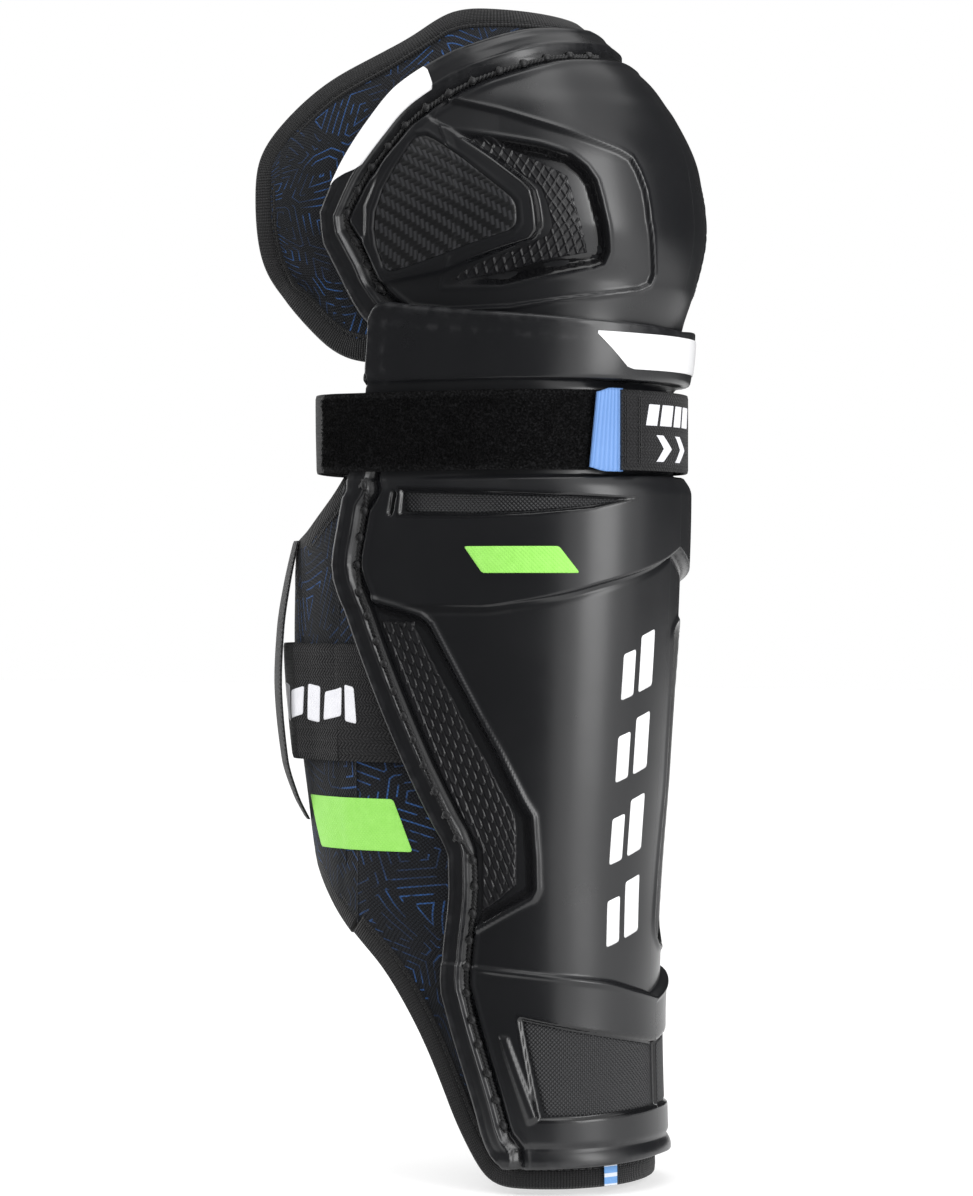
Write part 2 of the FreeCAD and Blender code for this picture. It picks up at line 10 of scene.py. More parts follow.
import bmesh
import bpy
import numpy as np
from mathutils import Vector
from mathutils.bvhtree import BVHTree
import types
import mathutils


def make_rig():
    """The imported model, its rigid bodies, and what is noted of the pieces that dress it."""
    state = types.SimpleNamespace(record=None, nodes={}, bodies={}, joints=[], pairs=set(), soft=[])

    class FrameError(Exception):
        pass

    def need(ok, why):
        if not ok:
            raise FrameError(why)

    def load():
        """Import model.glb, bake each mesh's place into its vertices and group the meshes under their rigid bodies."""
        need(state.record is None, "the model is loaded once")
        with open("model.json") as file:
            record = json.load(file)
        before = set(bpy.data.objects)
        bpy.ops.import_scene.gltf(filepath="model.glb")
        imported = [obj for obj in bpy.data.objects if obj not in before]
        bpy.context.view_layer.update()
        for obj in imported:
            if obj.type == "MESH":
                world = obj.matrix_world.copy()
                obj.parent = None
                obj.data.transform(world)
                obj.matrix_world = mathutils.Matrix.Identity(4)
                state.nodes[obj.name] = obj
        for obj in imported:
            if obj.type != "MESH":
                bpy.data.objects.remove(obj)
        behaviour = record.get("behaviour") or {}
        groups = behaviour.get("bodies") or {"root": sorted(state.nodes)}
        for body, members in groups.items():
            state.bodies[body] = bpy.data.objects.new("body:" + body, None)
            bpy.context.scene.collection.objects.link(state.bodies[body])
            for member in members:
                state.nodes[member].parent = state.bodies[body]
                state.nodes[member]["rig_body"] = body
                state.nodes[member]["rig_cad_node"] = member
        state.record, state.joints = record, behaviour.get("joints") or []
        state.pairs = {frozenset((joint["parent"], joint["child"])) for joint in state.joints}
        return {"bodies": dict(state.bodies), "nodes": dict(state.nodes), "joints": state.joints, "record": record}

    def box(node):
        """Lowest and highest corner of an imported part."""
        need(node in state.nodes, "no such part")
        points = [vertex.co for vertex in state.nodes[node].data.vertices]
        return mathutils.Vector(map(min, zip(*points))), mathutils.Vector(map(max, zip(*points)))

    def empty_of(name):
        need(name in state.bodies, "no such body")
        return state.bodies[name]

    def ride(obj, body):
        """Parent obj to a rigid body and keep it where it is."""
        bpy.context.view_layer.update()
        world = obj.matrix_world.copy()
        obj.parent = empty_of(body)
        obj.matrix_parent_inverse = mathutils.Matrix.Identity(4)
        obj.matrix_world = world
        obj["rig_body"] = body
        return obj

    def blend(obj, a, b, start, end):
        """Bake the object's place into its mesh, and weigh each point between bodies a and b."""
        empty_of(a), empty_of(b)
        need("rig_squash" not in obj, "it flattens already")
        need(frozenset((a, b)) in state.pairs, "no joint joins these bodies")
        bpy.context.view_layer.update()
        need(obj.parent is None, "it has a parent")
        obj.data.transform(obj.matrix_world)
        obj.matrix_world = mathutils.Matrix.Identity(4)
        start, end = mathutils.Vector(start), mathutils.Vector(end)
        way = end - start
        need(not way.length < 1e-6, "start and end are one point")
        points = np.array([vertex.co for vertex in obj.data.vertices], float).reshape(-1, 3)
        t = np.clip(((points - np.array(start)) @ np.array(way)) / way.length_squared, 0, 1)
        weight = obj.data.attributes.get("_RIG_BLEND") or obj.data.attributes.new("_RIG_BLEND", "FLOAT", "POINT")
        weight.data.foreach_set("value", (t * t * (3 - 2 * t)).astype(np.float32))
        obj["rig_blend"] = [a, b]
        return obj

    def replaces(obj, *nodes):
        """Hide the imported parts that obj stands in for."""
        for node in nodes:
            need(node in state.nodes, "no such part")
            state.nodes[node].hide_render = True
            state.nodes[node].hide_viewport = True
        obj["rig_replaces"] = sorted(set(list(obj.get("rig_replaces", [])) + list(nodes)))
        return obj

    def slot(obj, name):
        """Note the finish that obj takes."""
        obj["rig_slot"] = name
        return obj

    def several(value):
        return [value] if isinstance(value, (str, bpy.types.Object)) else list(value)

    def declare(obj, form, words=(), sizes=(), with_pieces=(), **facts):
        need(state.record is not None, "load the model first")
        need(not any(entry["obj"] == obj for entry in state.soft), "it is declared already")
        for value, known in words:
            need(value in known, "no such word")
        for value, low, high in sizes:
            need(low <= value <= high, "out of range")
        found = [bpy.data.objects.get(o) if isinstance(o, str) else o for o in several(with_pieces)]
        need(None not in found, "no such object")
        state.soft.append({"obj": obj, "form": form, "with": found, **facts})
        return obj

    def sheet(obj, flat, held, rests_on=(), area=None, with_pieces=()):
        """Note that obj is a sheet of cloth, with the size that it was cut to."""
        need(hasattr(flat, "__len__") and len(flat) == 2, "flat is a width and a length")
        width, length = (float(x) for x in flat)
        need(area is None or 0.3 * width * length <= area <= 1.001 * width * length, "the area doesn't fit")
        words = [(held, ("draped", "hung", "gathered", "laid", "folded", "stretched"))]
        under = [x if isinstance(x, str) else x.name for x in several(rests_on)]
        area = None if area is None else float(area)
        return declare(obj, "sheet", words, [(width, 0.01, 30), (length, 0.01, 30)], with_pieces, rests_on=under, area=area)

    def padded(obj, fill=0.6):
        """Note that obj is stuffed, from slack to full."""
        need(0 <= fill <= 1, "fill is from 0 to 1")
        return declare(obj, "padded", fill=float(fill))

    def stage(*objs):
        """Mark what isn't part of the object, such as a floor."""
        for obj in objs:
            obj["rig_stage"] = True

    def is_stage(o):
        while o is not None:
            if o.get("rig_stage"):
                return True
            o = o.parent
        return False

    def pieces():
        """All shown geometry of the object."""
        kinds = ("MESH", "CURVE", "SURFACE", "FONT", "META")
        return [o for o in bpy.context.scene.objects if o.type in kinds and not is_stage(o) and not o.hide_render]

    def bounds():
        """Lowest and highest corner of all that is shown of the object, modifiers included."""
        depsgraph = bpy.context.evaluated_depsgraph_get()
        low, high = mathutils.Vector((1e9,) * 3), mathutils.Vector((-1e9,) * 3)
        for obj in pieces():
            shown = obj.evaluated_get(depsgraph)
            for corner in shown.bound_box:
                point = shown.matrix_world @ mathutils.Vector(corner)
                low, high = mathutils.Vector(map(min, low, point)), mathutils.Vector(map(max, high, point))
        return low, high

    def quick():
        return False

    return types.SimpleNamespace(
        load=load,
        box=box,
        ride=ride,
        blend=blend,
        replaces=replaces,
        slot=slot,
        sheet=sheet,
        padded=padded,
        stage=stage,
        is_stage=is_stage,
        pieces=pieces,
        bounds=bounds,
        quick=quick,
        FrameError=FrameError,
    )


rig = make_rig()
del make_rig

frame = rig.load()
cad_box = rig.bounds()
MM = 0.001

# ---------------------------------------------------------------- sizes shared with the frame
CAP_WALL = 3.0
LINER_LIFT = -3.5
KNEE_FOAM = 7.5
SHIN_FOAM = 6.5
WING_FOLD_X = 1000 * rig.box("outer_wing_pad")[1].x        # front edge of the calf wings
WING_RUN = 62.0           # length of calf curve covered by WING_SWEEP degrees
WING_SWEEP = 64.0
OUTER_WING = 52.0
INNER_WING = 42.5
TAIL_START = 43.0
TAIL_LIFT = 3.2
COLLAR_REACH = 44.0
KNEE_LINER_REAR = -72.5
SIDES = (("outer", -1), ("inner", 1))
STRAP_LOW, STRAP_HIGH = (1000 * corner.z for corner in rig.box("upper_strap_loop"))
BAND_LOW, BAND_HIGH = (1000 * corner.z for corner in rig.box("lower_strap_wing"))
STRAP_BACK_X = -40.0
STRAP_BOW = 27.0
WRAP_X = -20.0
TAPER = 0.03
WALL_RUN = 60.0
FLANGE = 7.6              # width of the smooth lip round each cap
SEAM = 10.6               # distance from the caps' edges to the lock-stitched groove

# Profiles are (height, value) pairs joined by a smooth curve.
SHIN_FRONT = [(0, 64), (60, 62.4), (82, 63.2), (110, 63.8), (160, 67), (222, 70.8), (262, 72), (269, 68.3),
              (301, 67.8), (306, 71.6), (324, 73.6), (340, 74)]
SHIN_HALF = [(0, 45.5), (65, 46.5), (140, 50), (220, 53.5), (262, 54.6), (270, 53.2), (301, 53.8),
             (306, 55.5),
             (324, 56.8), (340, 57.5)]
SHIN_CENTRE = [(0, 23.5), (80, 19), (140, 17), (340, 16.5)]
SHIN_REAR = [(0, 18.5), (24, 12.5), (68, -1.4), (76, -3.3), (88, -2.5), (115, 0.8), (126, 0.8),
             (134, -3.7), (160, -17.4), (215, -40.5), (234, -46.7), (252, -43.6), (304, -31.7), (340, -28)]
SHIN_TOP_EDGE = [(0, 324), (0.5, 326.5), (1, 330), (1.6, 333), (1.85, 334.5), (1.95, 333), (2, 329)]
SHIN_BOTTOM_EDGE = [(0, 10.3), (0.5, 9.2), (1, 8.4), (1.3, 10), (1.65, 12.5), (1.9, 16), (2, 21)]
KNEE_FRONT = [(308, 70), (322, 71.5), (327, 72.7), (340, 77.3), (363, 81.1), (385, 78.6), (407, 69),
              (424, 54.5), (433, 45), (443, 34)]
KNEE_HALF = [(308, 52), (340, 53), (350, 57.5), (362, 63), (372, 64.5), (385, 64), (405, 60), (425, 52),
             (436, 45), (443, 41)]
KNEE_CENTRE = [(308, 16), (365, 16), (405, 9), (425, 4), (443, -3)]
KNEE_TOP_EDGE = [(0, 441), (0.5, 438), (1, 428.5), (1.45, 416), (1.66, 403), (1.86, 386), (2, 369)]
KNEE_BOTTOM_EDGE = [(0, 312), (1, 314), (1.5, 318), (1.76, 327), (1.9, 339), (2, 357)]
KNEE_REAR_X = -46.8
LINER_FRONT = [(0, 64.3), (20, 64.3), (60, 62.4), (110, 63.2), (222, 69), (262, 67.6), (340, 67)]
LINER_HALF = [(0, 45.5), (65, 46.5), (140, 50), (220, 53.2), (340, 53.3)]
LINER_EDGE = [(0, 22), (6, 17), (26, 5), (41, -1.5), (55, -8), (70, -16.5), (85, -27), (98, -41),
              (104, -47.5), (258, -47.5), (266, -44), (272, -38), (304, -30)]
KNEE_LINER_BOTTOM = [(-79, 370), (-74, 354), (-60, 333), (-42, 319), (-20, 318), (10, 318), (90, 318)]
KNEE_LINER_TOP = [(-79, 376), (-72, 390), (-60, 404), (-44, 416), (-28, 423), (-10, 431), (8, 441)]
WRAP_DEPTH = [(60, 50), (115, 55), (145, 59.5), (185, 64), (220, 65.3), (245, 64), (262, 57)]

# Moulded features as (distance round from the front line, height) outlines.
PLATE_EDGE = [(0, 241), (9, 237), (21, 233), (39, 228), (54, 224), (69, 221.4), (85, 219.5), (110, 219.5)]
ANKLE_EDGE = [(0, 71), (14, 74.8), (28, 78.7), (44, 81), (61, 82.9), (90, 85)]
VENT_SLOT = [(119.6, 264), (26.7, 260), (44, 256), (67, 254), (89.5, 253.3), (120.5, 254)]
GRIP_RIDGE = [(133, 223), (118, 219), (109, 216.4), (104.5, 213), (91, 192), (72.7, 164), (63, 147),
              (58.9, 141),
              (56.5, 125), (55.5, 113.5), (57, 110.3), (62, 107.5), (80, 97.5)]
GRIP_FLOOR = [(112.6, 212), (99.5, 192), (81, 164), (66, 142), (64.4, 136), (63.3, 115), (69.7, 109.4),
              (84, 100),
              (92, 134), (124, 192), (140, 222), (128, 219)]
ANKLE_PANEL = [(61, 65.6), (0, 53.6), (0, 28.6), (16, 28.2), (37.7, 26.9), (54, 27.2)]
ANKLE_BAR = [(68.2, 58), (65, 58), (54, 27.8), (57.4, 26.2)]
KNEE_CREASE = [(97, 410), (78, 404), (68, 400), (57, 396), (46, 392), (39, 389.5), (34.5, 387), (32, 382),
               (30, 375), (29, 364), (26, 353), (23, 344), (24, 340), (28.5, 338), (45, 335.6), (59, 333.7),
               (76, 331), (99, 330.7)]
KNEE_HOLLOW = [(104, 398), (69.4, 391), (59.4, 387.6), (54, 383), (51, 378), (49, 366.6), (45, 351),
               (46, 346.5),
               (50, 345), (82.5, 339.5), (106, 340)]
KNEE_PLATEAU = [(108, 401.5), (79.5, 376.6), (77, 373.5), (75, 359), (76.4, 356), (108.5, 346), (134, 343),
                (143, 357), (143, 370), (132, 388), (117, 399)]
CARBON = [(111.5, 396), (84.5, 371.5), (82.6, 369), (81.8, 361.7), (83.5, 359), (110, 351), (126.3, 346.6),
          (130.5, 346.4), (133, 348), (138.5, 356), (140.4, 362), (140, 368), (136, 376), (129, 384.5),
          (120, 393),
          (116, 395.6)]


# ---------------------------------------------------------------- curves and sections
def smooth(table, value):
    """Monotone cubic curve through (position, value) pairs, flat beyond the ends."""
    xs, ys = np.array(table, float).T
    value = np.clip(value, xs[0], xs[-1])
    steps = np.diff(xs)
    slopes = np.diff(ys) / steps
    tangents = np.concatenate([slopes[:1], np.zeros(len(xs) - 2), slopes[-1:]])
    for i in range(1, len(xs) - 1):
        if slopes[i - 1] * slopes[i] > 0:
            w1 = 2 * steps[i] + steps[i - 1]
            w2 = steps[i] + 2 * steps[i - 1]
            tangents[i] = (w1 + w2) / (w1 / slopes[i - 1] + w2 / slopes[i])
    i = np.clip(np.searchsorted(xs, value) - 1, 0, len(steps) - 1)
    t = (value - xs[i]) / steps[i]
    return ((2 * t**3 - 3 * t**2 + 1) * ys[i] + (t**3 - 2 * t**2 + t) * steps[i] * tangents[i]
            + (3 * t**2 - 2 * t**3) * ys[i + 1] + (t**3 - t**2) * steps[i] * tangents[i + 1])


def ease(value, low, high):
    """0 below low, 1 above high, and a smooth step between."""
    t = np.clip((value - low) / (high - low), 0, 1)
    return t * t * (3 - 2 * t)


def join(*columns):
    return np.stack(np.broadcast_arrays(*columns), -1).astype(float)


SHIN = (SHIN_FRONT, SHIN_HALF, SHIN_CENTRE)
KNEE = (KNEE_FRONT, KNEE_HALF, KNEE_CENTRE)
LINER = (LINER_FRONT, LINER_HALF, SHIN_CENTRE)


def wall_half(profiles, x, z):
    back = np.maximum(smooth(profiles[2], z) - x, 0) / WALL_RUN
    return smooth(profiles[1], z) * (1 - TAPER * back * back)


def section(profiles, w, z, lift, rear_x):
    """U-shaped plan section: |w| is 0 on the front line, 1 on the widest line and 2 on the rear edge."""
    front, half, centre = (smooth(table, z) for table in profiles)
    angle = np.clip(np.abs(w), 0, 1) * math.pi / 2
    run = np.clip(np.abs(w) - 1, 0, None)
    x = np.where(np.abs(w) <= 1, centre + (front - centre + lift) * np.cos(angle),
                 centre - run * (centre - rear_x))
    y = np.where(np.abs(w) <= 1, (half + lift) * np.sin(angle), wall_half(profiles, x, z) + lift)
    return join(x, np.sign(w) * y, z)


def girth(profiles, w, z, rear_x):
    """Distance round the section from the front line."""
    front, half, centre = (smooth(table, z) for table in profiles)
    quarter = math.pi / 2 * np.sqrt(((front - centre) ** 2 + half**2) / 2)
    return np.where(np.abs(w) <= 1, quarter * np.abs(w), quarter + (np.abs(w) - 1) * (centre - rear_x))


def at_girth(profiles, s, z, lift, side, rear_x):
    """Point of a section at distance s round from the front line."""
    front, half, centre = (smooth(table, z) for table in profiles)
    quarter = math.pi / 2 * np.sqrt(((front - centre) ** 2 + half**2) / 2)
    w = np.where(s <= quarter, s / quarter, 1 + (s - quarter) / (centre - rear_x))
    return section(profiles, side * w, z, lift, rear_x)


# ---------------------------------------------------------------- outlines
def path_distance(s, z, points, closed=False):
    """Distance to a line of points in the (distance round, height) map."""
    points = list(points) + ([points[0]] if closed else [])
    best = np.full(np.shape(s), 1e9)
    for (s0, z0), (s1, z1) in zip(points, points[1:]):
        ds, dz = s1 - s0, z1 - z0
        t = np.clip(((s - s0) * ds + (z - z0) * dz) / (ds * ds + dz * dz + 1e-12), 0, 1)
        best = np.minimum(best, np.hypot(s - s0 - t * ds, z - z0 - t * dz))
    return best


def inside(s, z, points):
    found = np.zeros(np.shape(s), bool)
    for (s0, z0), (s1, z1) in zip(points, points[1:] + points[:1]):
        if z0 == z1:
            continue
        crosses = (z0 > z) != (z1 > z)
        found ^= crosses & (s < s0 + (z - z0) * (s1 - s0) / (z1 - z0))
    return found


def outline_depth(s, z, points):
    """Distance inside a closed outline, negative outside."""
    distance = path_distance(s, z, points, closed=True)
    return np.where(inside(s, z, points), distance, -distance)


def bump(distance, width):
    return np.exp(-((distance / width) ** 2))


# ---------------------------------------------------------------- meshes
def make_mesh(name, points, faces, flat=0):
    """Object from points in millimetres and arrays of faces by size; the last flat faces aren't smooth."""
    mesh = bpy.data.meshes.new(name)
    points = np.asarray(points, np.float32) * MM
    groups = [np.asarray(group, np.int32) for group in faces if len(group)]
    loops = np.concatenate([group.ravel() for group in groups])
    sizes = np.concatenate([np.full(len(group), group.shape[1], np.int32) for group in groups])
    starts = np.concatenate([[0], np.cumsum(sizes)[:-1]]).astype(np.int32)
    mesh.vertices.add(len(points))
    mesh.vertices.foreach_set("co", points.ravel())
    mesh.loops.add(len(loops))
    mesh.loops.foreach_set("vertex_index", loops)
    mesh.polygons.add(len(sizes))
    mesh.polygons.foreach_set("loop_start", starts)
    mesh.polygons.foreach_set("loop_total", sizes)
    mesh.update(calc_edges=True)
    mesh.validate()
    mesh.polygons.foreach_set("use_smooth", np.arange(len(sizes)) < len(sizes) - flat)
    made = bpy.data.objects.new(name, mesh)
    bpy.context.scene.collection.objects.link(made)
    return made


def grid_faces(rows, cols, start=0, wrap=False, flip=False):
    i = np.arange(rows if wrap else rows - 1)
    j = np.arange(cols - 1)
    a, b = np.meshgrid(i, j, indexing="ij")
    nxt = (a + 1) % rows
    quads = np.stack([a * cols + b, nxt * cols + b, nxt * cols + b + 1, a * cols + b + 1], -1).reshape(-1, 4)
    return start + (quads[:, ::-1] if flip else quads)


def closed_sheet(name, outer, inner, step=1, flat_rims=False):
    """Closed solid between a fine outer grid and an inner grid taken at every step-th row and column."""
    rows, cols = outer.shape[:2]
    coarse = inner[::step, ::step]
    crow, ccol = coarse.shape[:2]
    points = np.concatenate([outer.reshape(-1, 3), coarse.reshape(-1, 3)])
    first = rows * cols
    faces = [grid_faces(rows, cols), grid_faces(crow, ccol, first, flip=True)]
    rims = []
    fine = {"low": lambda k: k * cols, "high": lambda k: k * cols + cols - 1,
            "left": lambda k: k, "right": lambda k: (rows - 1) * cols + k}
    rough = {"low": lambda k: k * ccol, "high": lambda k: k * ccol + ccol - 1,
             "left": lambda k: k, "right": lambda k: (crow - 1) * ccol + k}
    for edge, count in (("low", crow), ("high", crow), ("left", ccol), ("right", ccol)):
        for k in range(count - 1):
            ring = [fine[edge](k * step + m) for m in range(step + 1)]
            ring += [first + rough[edge](k + 1), first + rough[edge](k)]
            rims.append(ring if edge in ("high", "left") else ring[::-1])
    rims = np.array(rims)
    # The rims are wound against the skins, so that the solid faces outwards all over.
    return make_mesh(name, points, faces + [rims[:, ::-1]], len(rims) if flat_rims else 0)


def normals(grid):
    du = np.gradient(grid, axis=0)
    dv = np.gradient(grid, axis=1)
    n = np.cross(du, dv)
    return n / np.maximum(np.linalg.norm(n, axis=-1, keepdims=True), 1e-9)


# ---------------------------------------------------------------- shared surfaces
def wrap_half(z, lift):
    return wall_half(LINER, WRAP_X, z) + LINER_LIFT + lift


def wrap(phi_deg, z, lift, side):
    """Liner skin behind WRAP_X: a quarter ellipse from the side wall to the middle of the calf."""
    angle = np.radians(phi_deg)
    return join(WRAP_X - (smooth(WRAP_DEPTH, z) + lift) * np.sin(angle),
                side * wrap_half(z, lift) * np.cos(angle), z)


def wrap_angle(x, z, lift):
    share = np.clip((WRAP_X - x) / (smooth(WRAP_DEPTH, z) + lift), -1, 1)
    return np.degrees(np.arcsin(share))


def liner_wall(x, z, lift, side):
    """Side of the shin liner at x, curved behind WRAP_X."""
    flat = join(x, side * (wall_half(LINER, x, z) + LINER_LIFT + lift), z)
    round_part = wrap(np.maximum(wrap_angle(x, z, lift), 0), z, lift, side)
    return np.where((x >= WRAP_X)[..., None], flat, round_part)


def shin_liner_surface(w, t, lift):
    aw = np.abs(w)
    z = 5.5 + (302.0 - 5.5) * t
    front = section(LINER, np.clip(w, -1, 1), z, LINER_LIFT + lift, 0 * z)
    centre = smooth(SHIN_CENTRE, z)
    x = centre + (smooth(LINER_EDGE, z) - centre) * np.clip(aw - 1, 0, 1)
    return np.where((aw <= 1)[..., None], front, liner_wall(x, z, lift, np.sign(w)))


def knee_liner_surface(w, t, lift):
    aw = np.abs(w)
    low_front = 319.0 + 0 * aw
    high_front = smooth([(0, 439), (0.5, 440), (1, 441)], aw)
    z_front = low_front + (high_front - low_front) * t
    front = section(KNEE, np.clip(w, -1, 1), z_front, LINER_LIFT + lift, 0 * z_front)
    run = np.clip(aw - 1, 0, 1)
    x_guess = 9 + (KNEE_LINER_REAR - 9) * run
    low, high = smooth(KNEE_LINER_BOTTOM, x_guess), smooth(KNEE_LINER_TOP, x_guess)
    z = low + (high - low) * t
    centre = smooth(KNEE_CENTRE, z)
    x = centre + (KNEE_LINER_REAR - centre) * run
    wall = join(x, np.sign(w) * (wall_half(KNEE, x, z) + LINER_LIFT + lift), z)
    return np.where((aw <= 1)[..., None], front, wall)


def wing_surface(run, z, lift, side):
    start = wrap_angle(WING_FOLD_X, z, lift)
    return wrap(start + run / WING_RUN * WING_SWEEP, z, lift, side)


def cap_normal_point(profiles, rear, relief, s, z, extra, side):
    """Point on a cap's relief at (s, z), raised by extra along the cap's own normal. side mirrors it."""
    def base(s, z):
        return at_girth(profiles, s, z, 0.0, 1, rear(z))
    step = 0.4
    here = base(s, z)
    n = np.cross(base(s + step, z) - here, base(s, z + step) - here)
    n = n / np.maximum(np.linalg.norm(n, axis=-1, keepdims=True), 1e-9)
    lift = relief(s, z) if relief else 0.0
    point = here + n * (lift + extra)[..., None]
    return point * np.array([1.0, side, 1.0])


def shin_rear(z):
    return smooth(SHIN_REAR, z)


def knee_rear(z):
    return KNEE_REAR_X + 0 * z


def on_shin(s, z, extra, side):
    return cap_normal_point(SHIN, shin_rear, lambda a, b: shin_relief(a, b)[0], s, z, extra + 0 * s, side)


def on_knee(s, z, extra, side):
    return cap_normal_point(KNEE, knee_rear, lambda a, b: knee_relief(a, b, None)[0], s, z, extra + 0 * s,
                            side)


# ---------------------------------------------------------------- piece builders
def lengths(grid, axis):
    """Running length along one axis of a grid of points, averaged over the other axis."""
    step = np.linalg.norm(np.diff(grid, axis=axis), axis=-1).mean(axis=1 - axis)
    return np.concatenate([[0], np.cumsum(step)])


def set_plan(piece, plan):
    """Per-point (along, across) in millimetres, kept in a UV map for the materials."""
    mesh = piece.data
    layer = mesh.uv_layers.new(name="plan")
    index = np.empty(len(mesh.loops), np.int32)
    mesh.loops.foreach_get("vertex_index", index)
    layer.data.foreach_set("uv", np.asarray(plan, np.float32)[index].ravel())


def shell(name, surface, us, vs, top, bottom, rim=0.0, texture=None):
    """Closed tape or panel over surface(u, v, lift), between two lifts, with rounded edges."""
    u, v = np.meshgrid(us, vs, indexing="ij")
    base = surface(u, v, 0.0 * u)
    along, across = lengths(base, 0), lengths(base, 1)
    edge = np.minimum(np.minimum(along, along[-1] - along)[:, None],
                      np.minimum(across, across[-1] - across)[None, :])
    top = np.broadcast_to(top(u, v) if callable(top) else top, u.shape)
    bottom = np.broadcast_to(bottom(u, v) if callable(bottom) else bottom, u.shape)
    drop = soft_rim(edge, rim) * 0.5 * np.clip((top - bottom) / max(rim, 1e-6), 0, 1) if rim else 0.0
    grain = texture(along[:, None], across[None, :]) * ease(edge, 0, 1.2) if texture else 0.0
    outer = surface(u, v, top - drop + grain)
    inner = surface(u, v, bottom + drop)
    facing = np.einsum("ijk,ijk->", normals(outer), outer - inner)
    plan = np.stack(np.meshgrid(along, across, indexing="ij"), -1)
    if facing < 0:
        outer, inner, plan = outer[::-1], inner[::-1], plan[::-1]
    made = closed_sheet(name, outer, inner)
    set_plan(made, np.concatenate([plan.reshape(-1, 2)] * 2))
    return made


def rounded(points, radius, count=6):
    """Closed outline with its corners turned into short arcs."""
    out = []
    points = [np.array(p, float) for p in points]
    for before, here, after in zip(points[-1:] + points[:-1], points, points[1:] + points[:1]):
        a, b = before - here, after - here
        ra = min(radius, np.linalg.norm(a) / 2.2) / np.linalg.norm(a)
        rb = min(radius, np.linalg.norm(b) / 2.2) / np.linalg.norm(b)
        for t in np.linspace(0, 1, count):
            out.append((1 - t) ** 2 * (here + a * ra) + 2 * t * (1 - t) * here + t * t * (here + b * rb))
    return np.array(out)


def resample(points, count, closed=False):
    points = np.asarray(points, float)
    if closed:
        points = np.concatenate([points, points[:1]])
    run = np.concatenate([[0], np.cumsum(np.linalg.norm(np.diff(points, axis=0), axis=1))])
    stops = np.linspace(0, run[-1], count + 1 if closed else count)
    out = np.stack([np.interp(stops, run, points[:, k]) for k in range(points.shape[1])], -1)
    return out[:-1] if closed else out


def patch_part(outline, place, top, bottom, side, centre=None, rings=24, count=220, rim=0.5):
    """Closed panel over a (distance round, height) outline; place(s, z, lift, side) puts it on the part."""
    edge = resample(outline, count, closed=True)
    middle = np.array(centre if centre is not None else edge.mean(0), float)
    share = np.linspace(0, 1, rings) ** 0.8
    grid = middle + (edge[:, None, :] - middle) * share[None, 1:, None]
    s, z = grid[..., 0], grid[..., 1]
    depth = path_distance(s, z, [tuple(p) for p in edge], closed=True)
    skin = place(s, z, top - soft_rim(depth, rim), side).reshape(-1, 3)
    hub = place(middle[None, 0], middle[None, 1], np.array([top]), side)
    under = place(edge[:, 0], edge[:, 1], np.full(count, bottom), side)
    low_hub = place(middle[None, 0], middle[None, 1], np.array([bottom]), side)
    ring = rings - 1
    k = np.arange(count)
    nxt = (k + 1) % count
    hub_id, under_id = count * ring, count * ring + 1
    fan = np.stack([np.full(count, hub_id), k * ring, nxt * ring], -1)
    wall = np.stack([k * ring + ring - 1, under_id + k, under_id + nxt, nxt * ring + ring - 1], -1)
    floor = np.stack([np.full(count, under_id + count), under_id + nxt, under_id + k], -1)
    quads = grid_faces(count, ring, 0, wrap=True)[:, ::-1] if ring > 1 else np.zeros((0, 4), int)
    plan = np.concatenate([grid.reshape(-1, 2), middle[None], edge, middle[None]])
    return np.concatenate([skin, hub, under, low_hub]), [np.concatenate([quads, wall]),
                                                         np.concatenate([fan, floor])], plan


def patch(name, outline, place, top, bottom, centre=None, rings=24, count=220, rim=0.5, sides=(-1, 1)):
    return merged(name, [patch_part(outline, place, top, bottom, side, centre, rings, count,
                                    rim) for side in sides])


def fix_winding(piece):
    bm = bmesh.new()
    bm.from_mesh(piece.data)
    bmesh.ops.recalc_face_normals(bm, faces=bm.faces)
    bm.to_mesh(piece.data)
    bm.free()


def sweep(path, frames, profile):
    """Closed tube along a path; frames are two unit directions per point, profile a closed loop of (a, b)."""
    path = np.asarray(path, float)
    a, b = frames
    profile = np.asarray(profile, float)
    if profile.ndim == 2:
        profile = np.broadcast_to(profile, (len(path),) + profile.shape)
    rings = path[:, None, :] + a[:, None, :] * profile[..., 0:1] + b[:, None, :] * profile[..., 1:2]
    rows, cols = rings.shape[:2]
    i, j = np.meshgrid(np.arange(rows - 1), np.arange(cols), indexing="ij")
    nj = (j + 1) % cols
    quads = np.stack([i * cols + j, (i + 1) * cols + j, (i + 1) * cols + nj, i * cols + nj], -1).reshape(-1,
                                                                                                         4)
    hubs = np.stack([rings[0].mean(0), rings[-1].mean(0)])
    k = np.arange(cols)
    nk = (k + 1) % cols
    first, last = rows * cols, rows * cols + 1
    ends = np.concatenate([np.stack([np.full(cols, first), k, nk], -1),
                           np.stack([np.full(cols, last), (rows - 1) * cols + nk, (rows - 1) * cols + k],
                                    -1)])
    run = np.concatenate([[0], np.cumsum(np.linalg.norm(np.diff(path, axis=0), axis=1))])
    girth_run = np.concatenate([[0],
                                np.cumsum(np.linalg.norm(np.diff(profile[len(path) // 2], axis=0), axis=1))])
    plan = np.stack(np.meshgrid(run, girth_run, indexing="ij"), -1).reshape(-1, 2)
    points = np.concatenate([rings.reshape(-1, 3), hubs])
    plan = np.concatenate([plan, [[run[0], 0], [run[-1], 0]]])
    return points, [quads, ends], plan


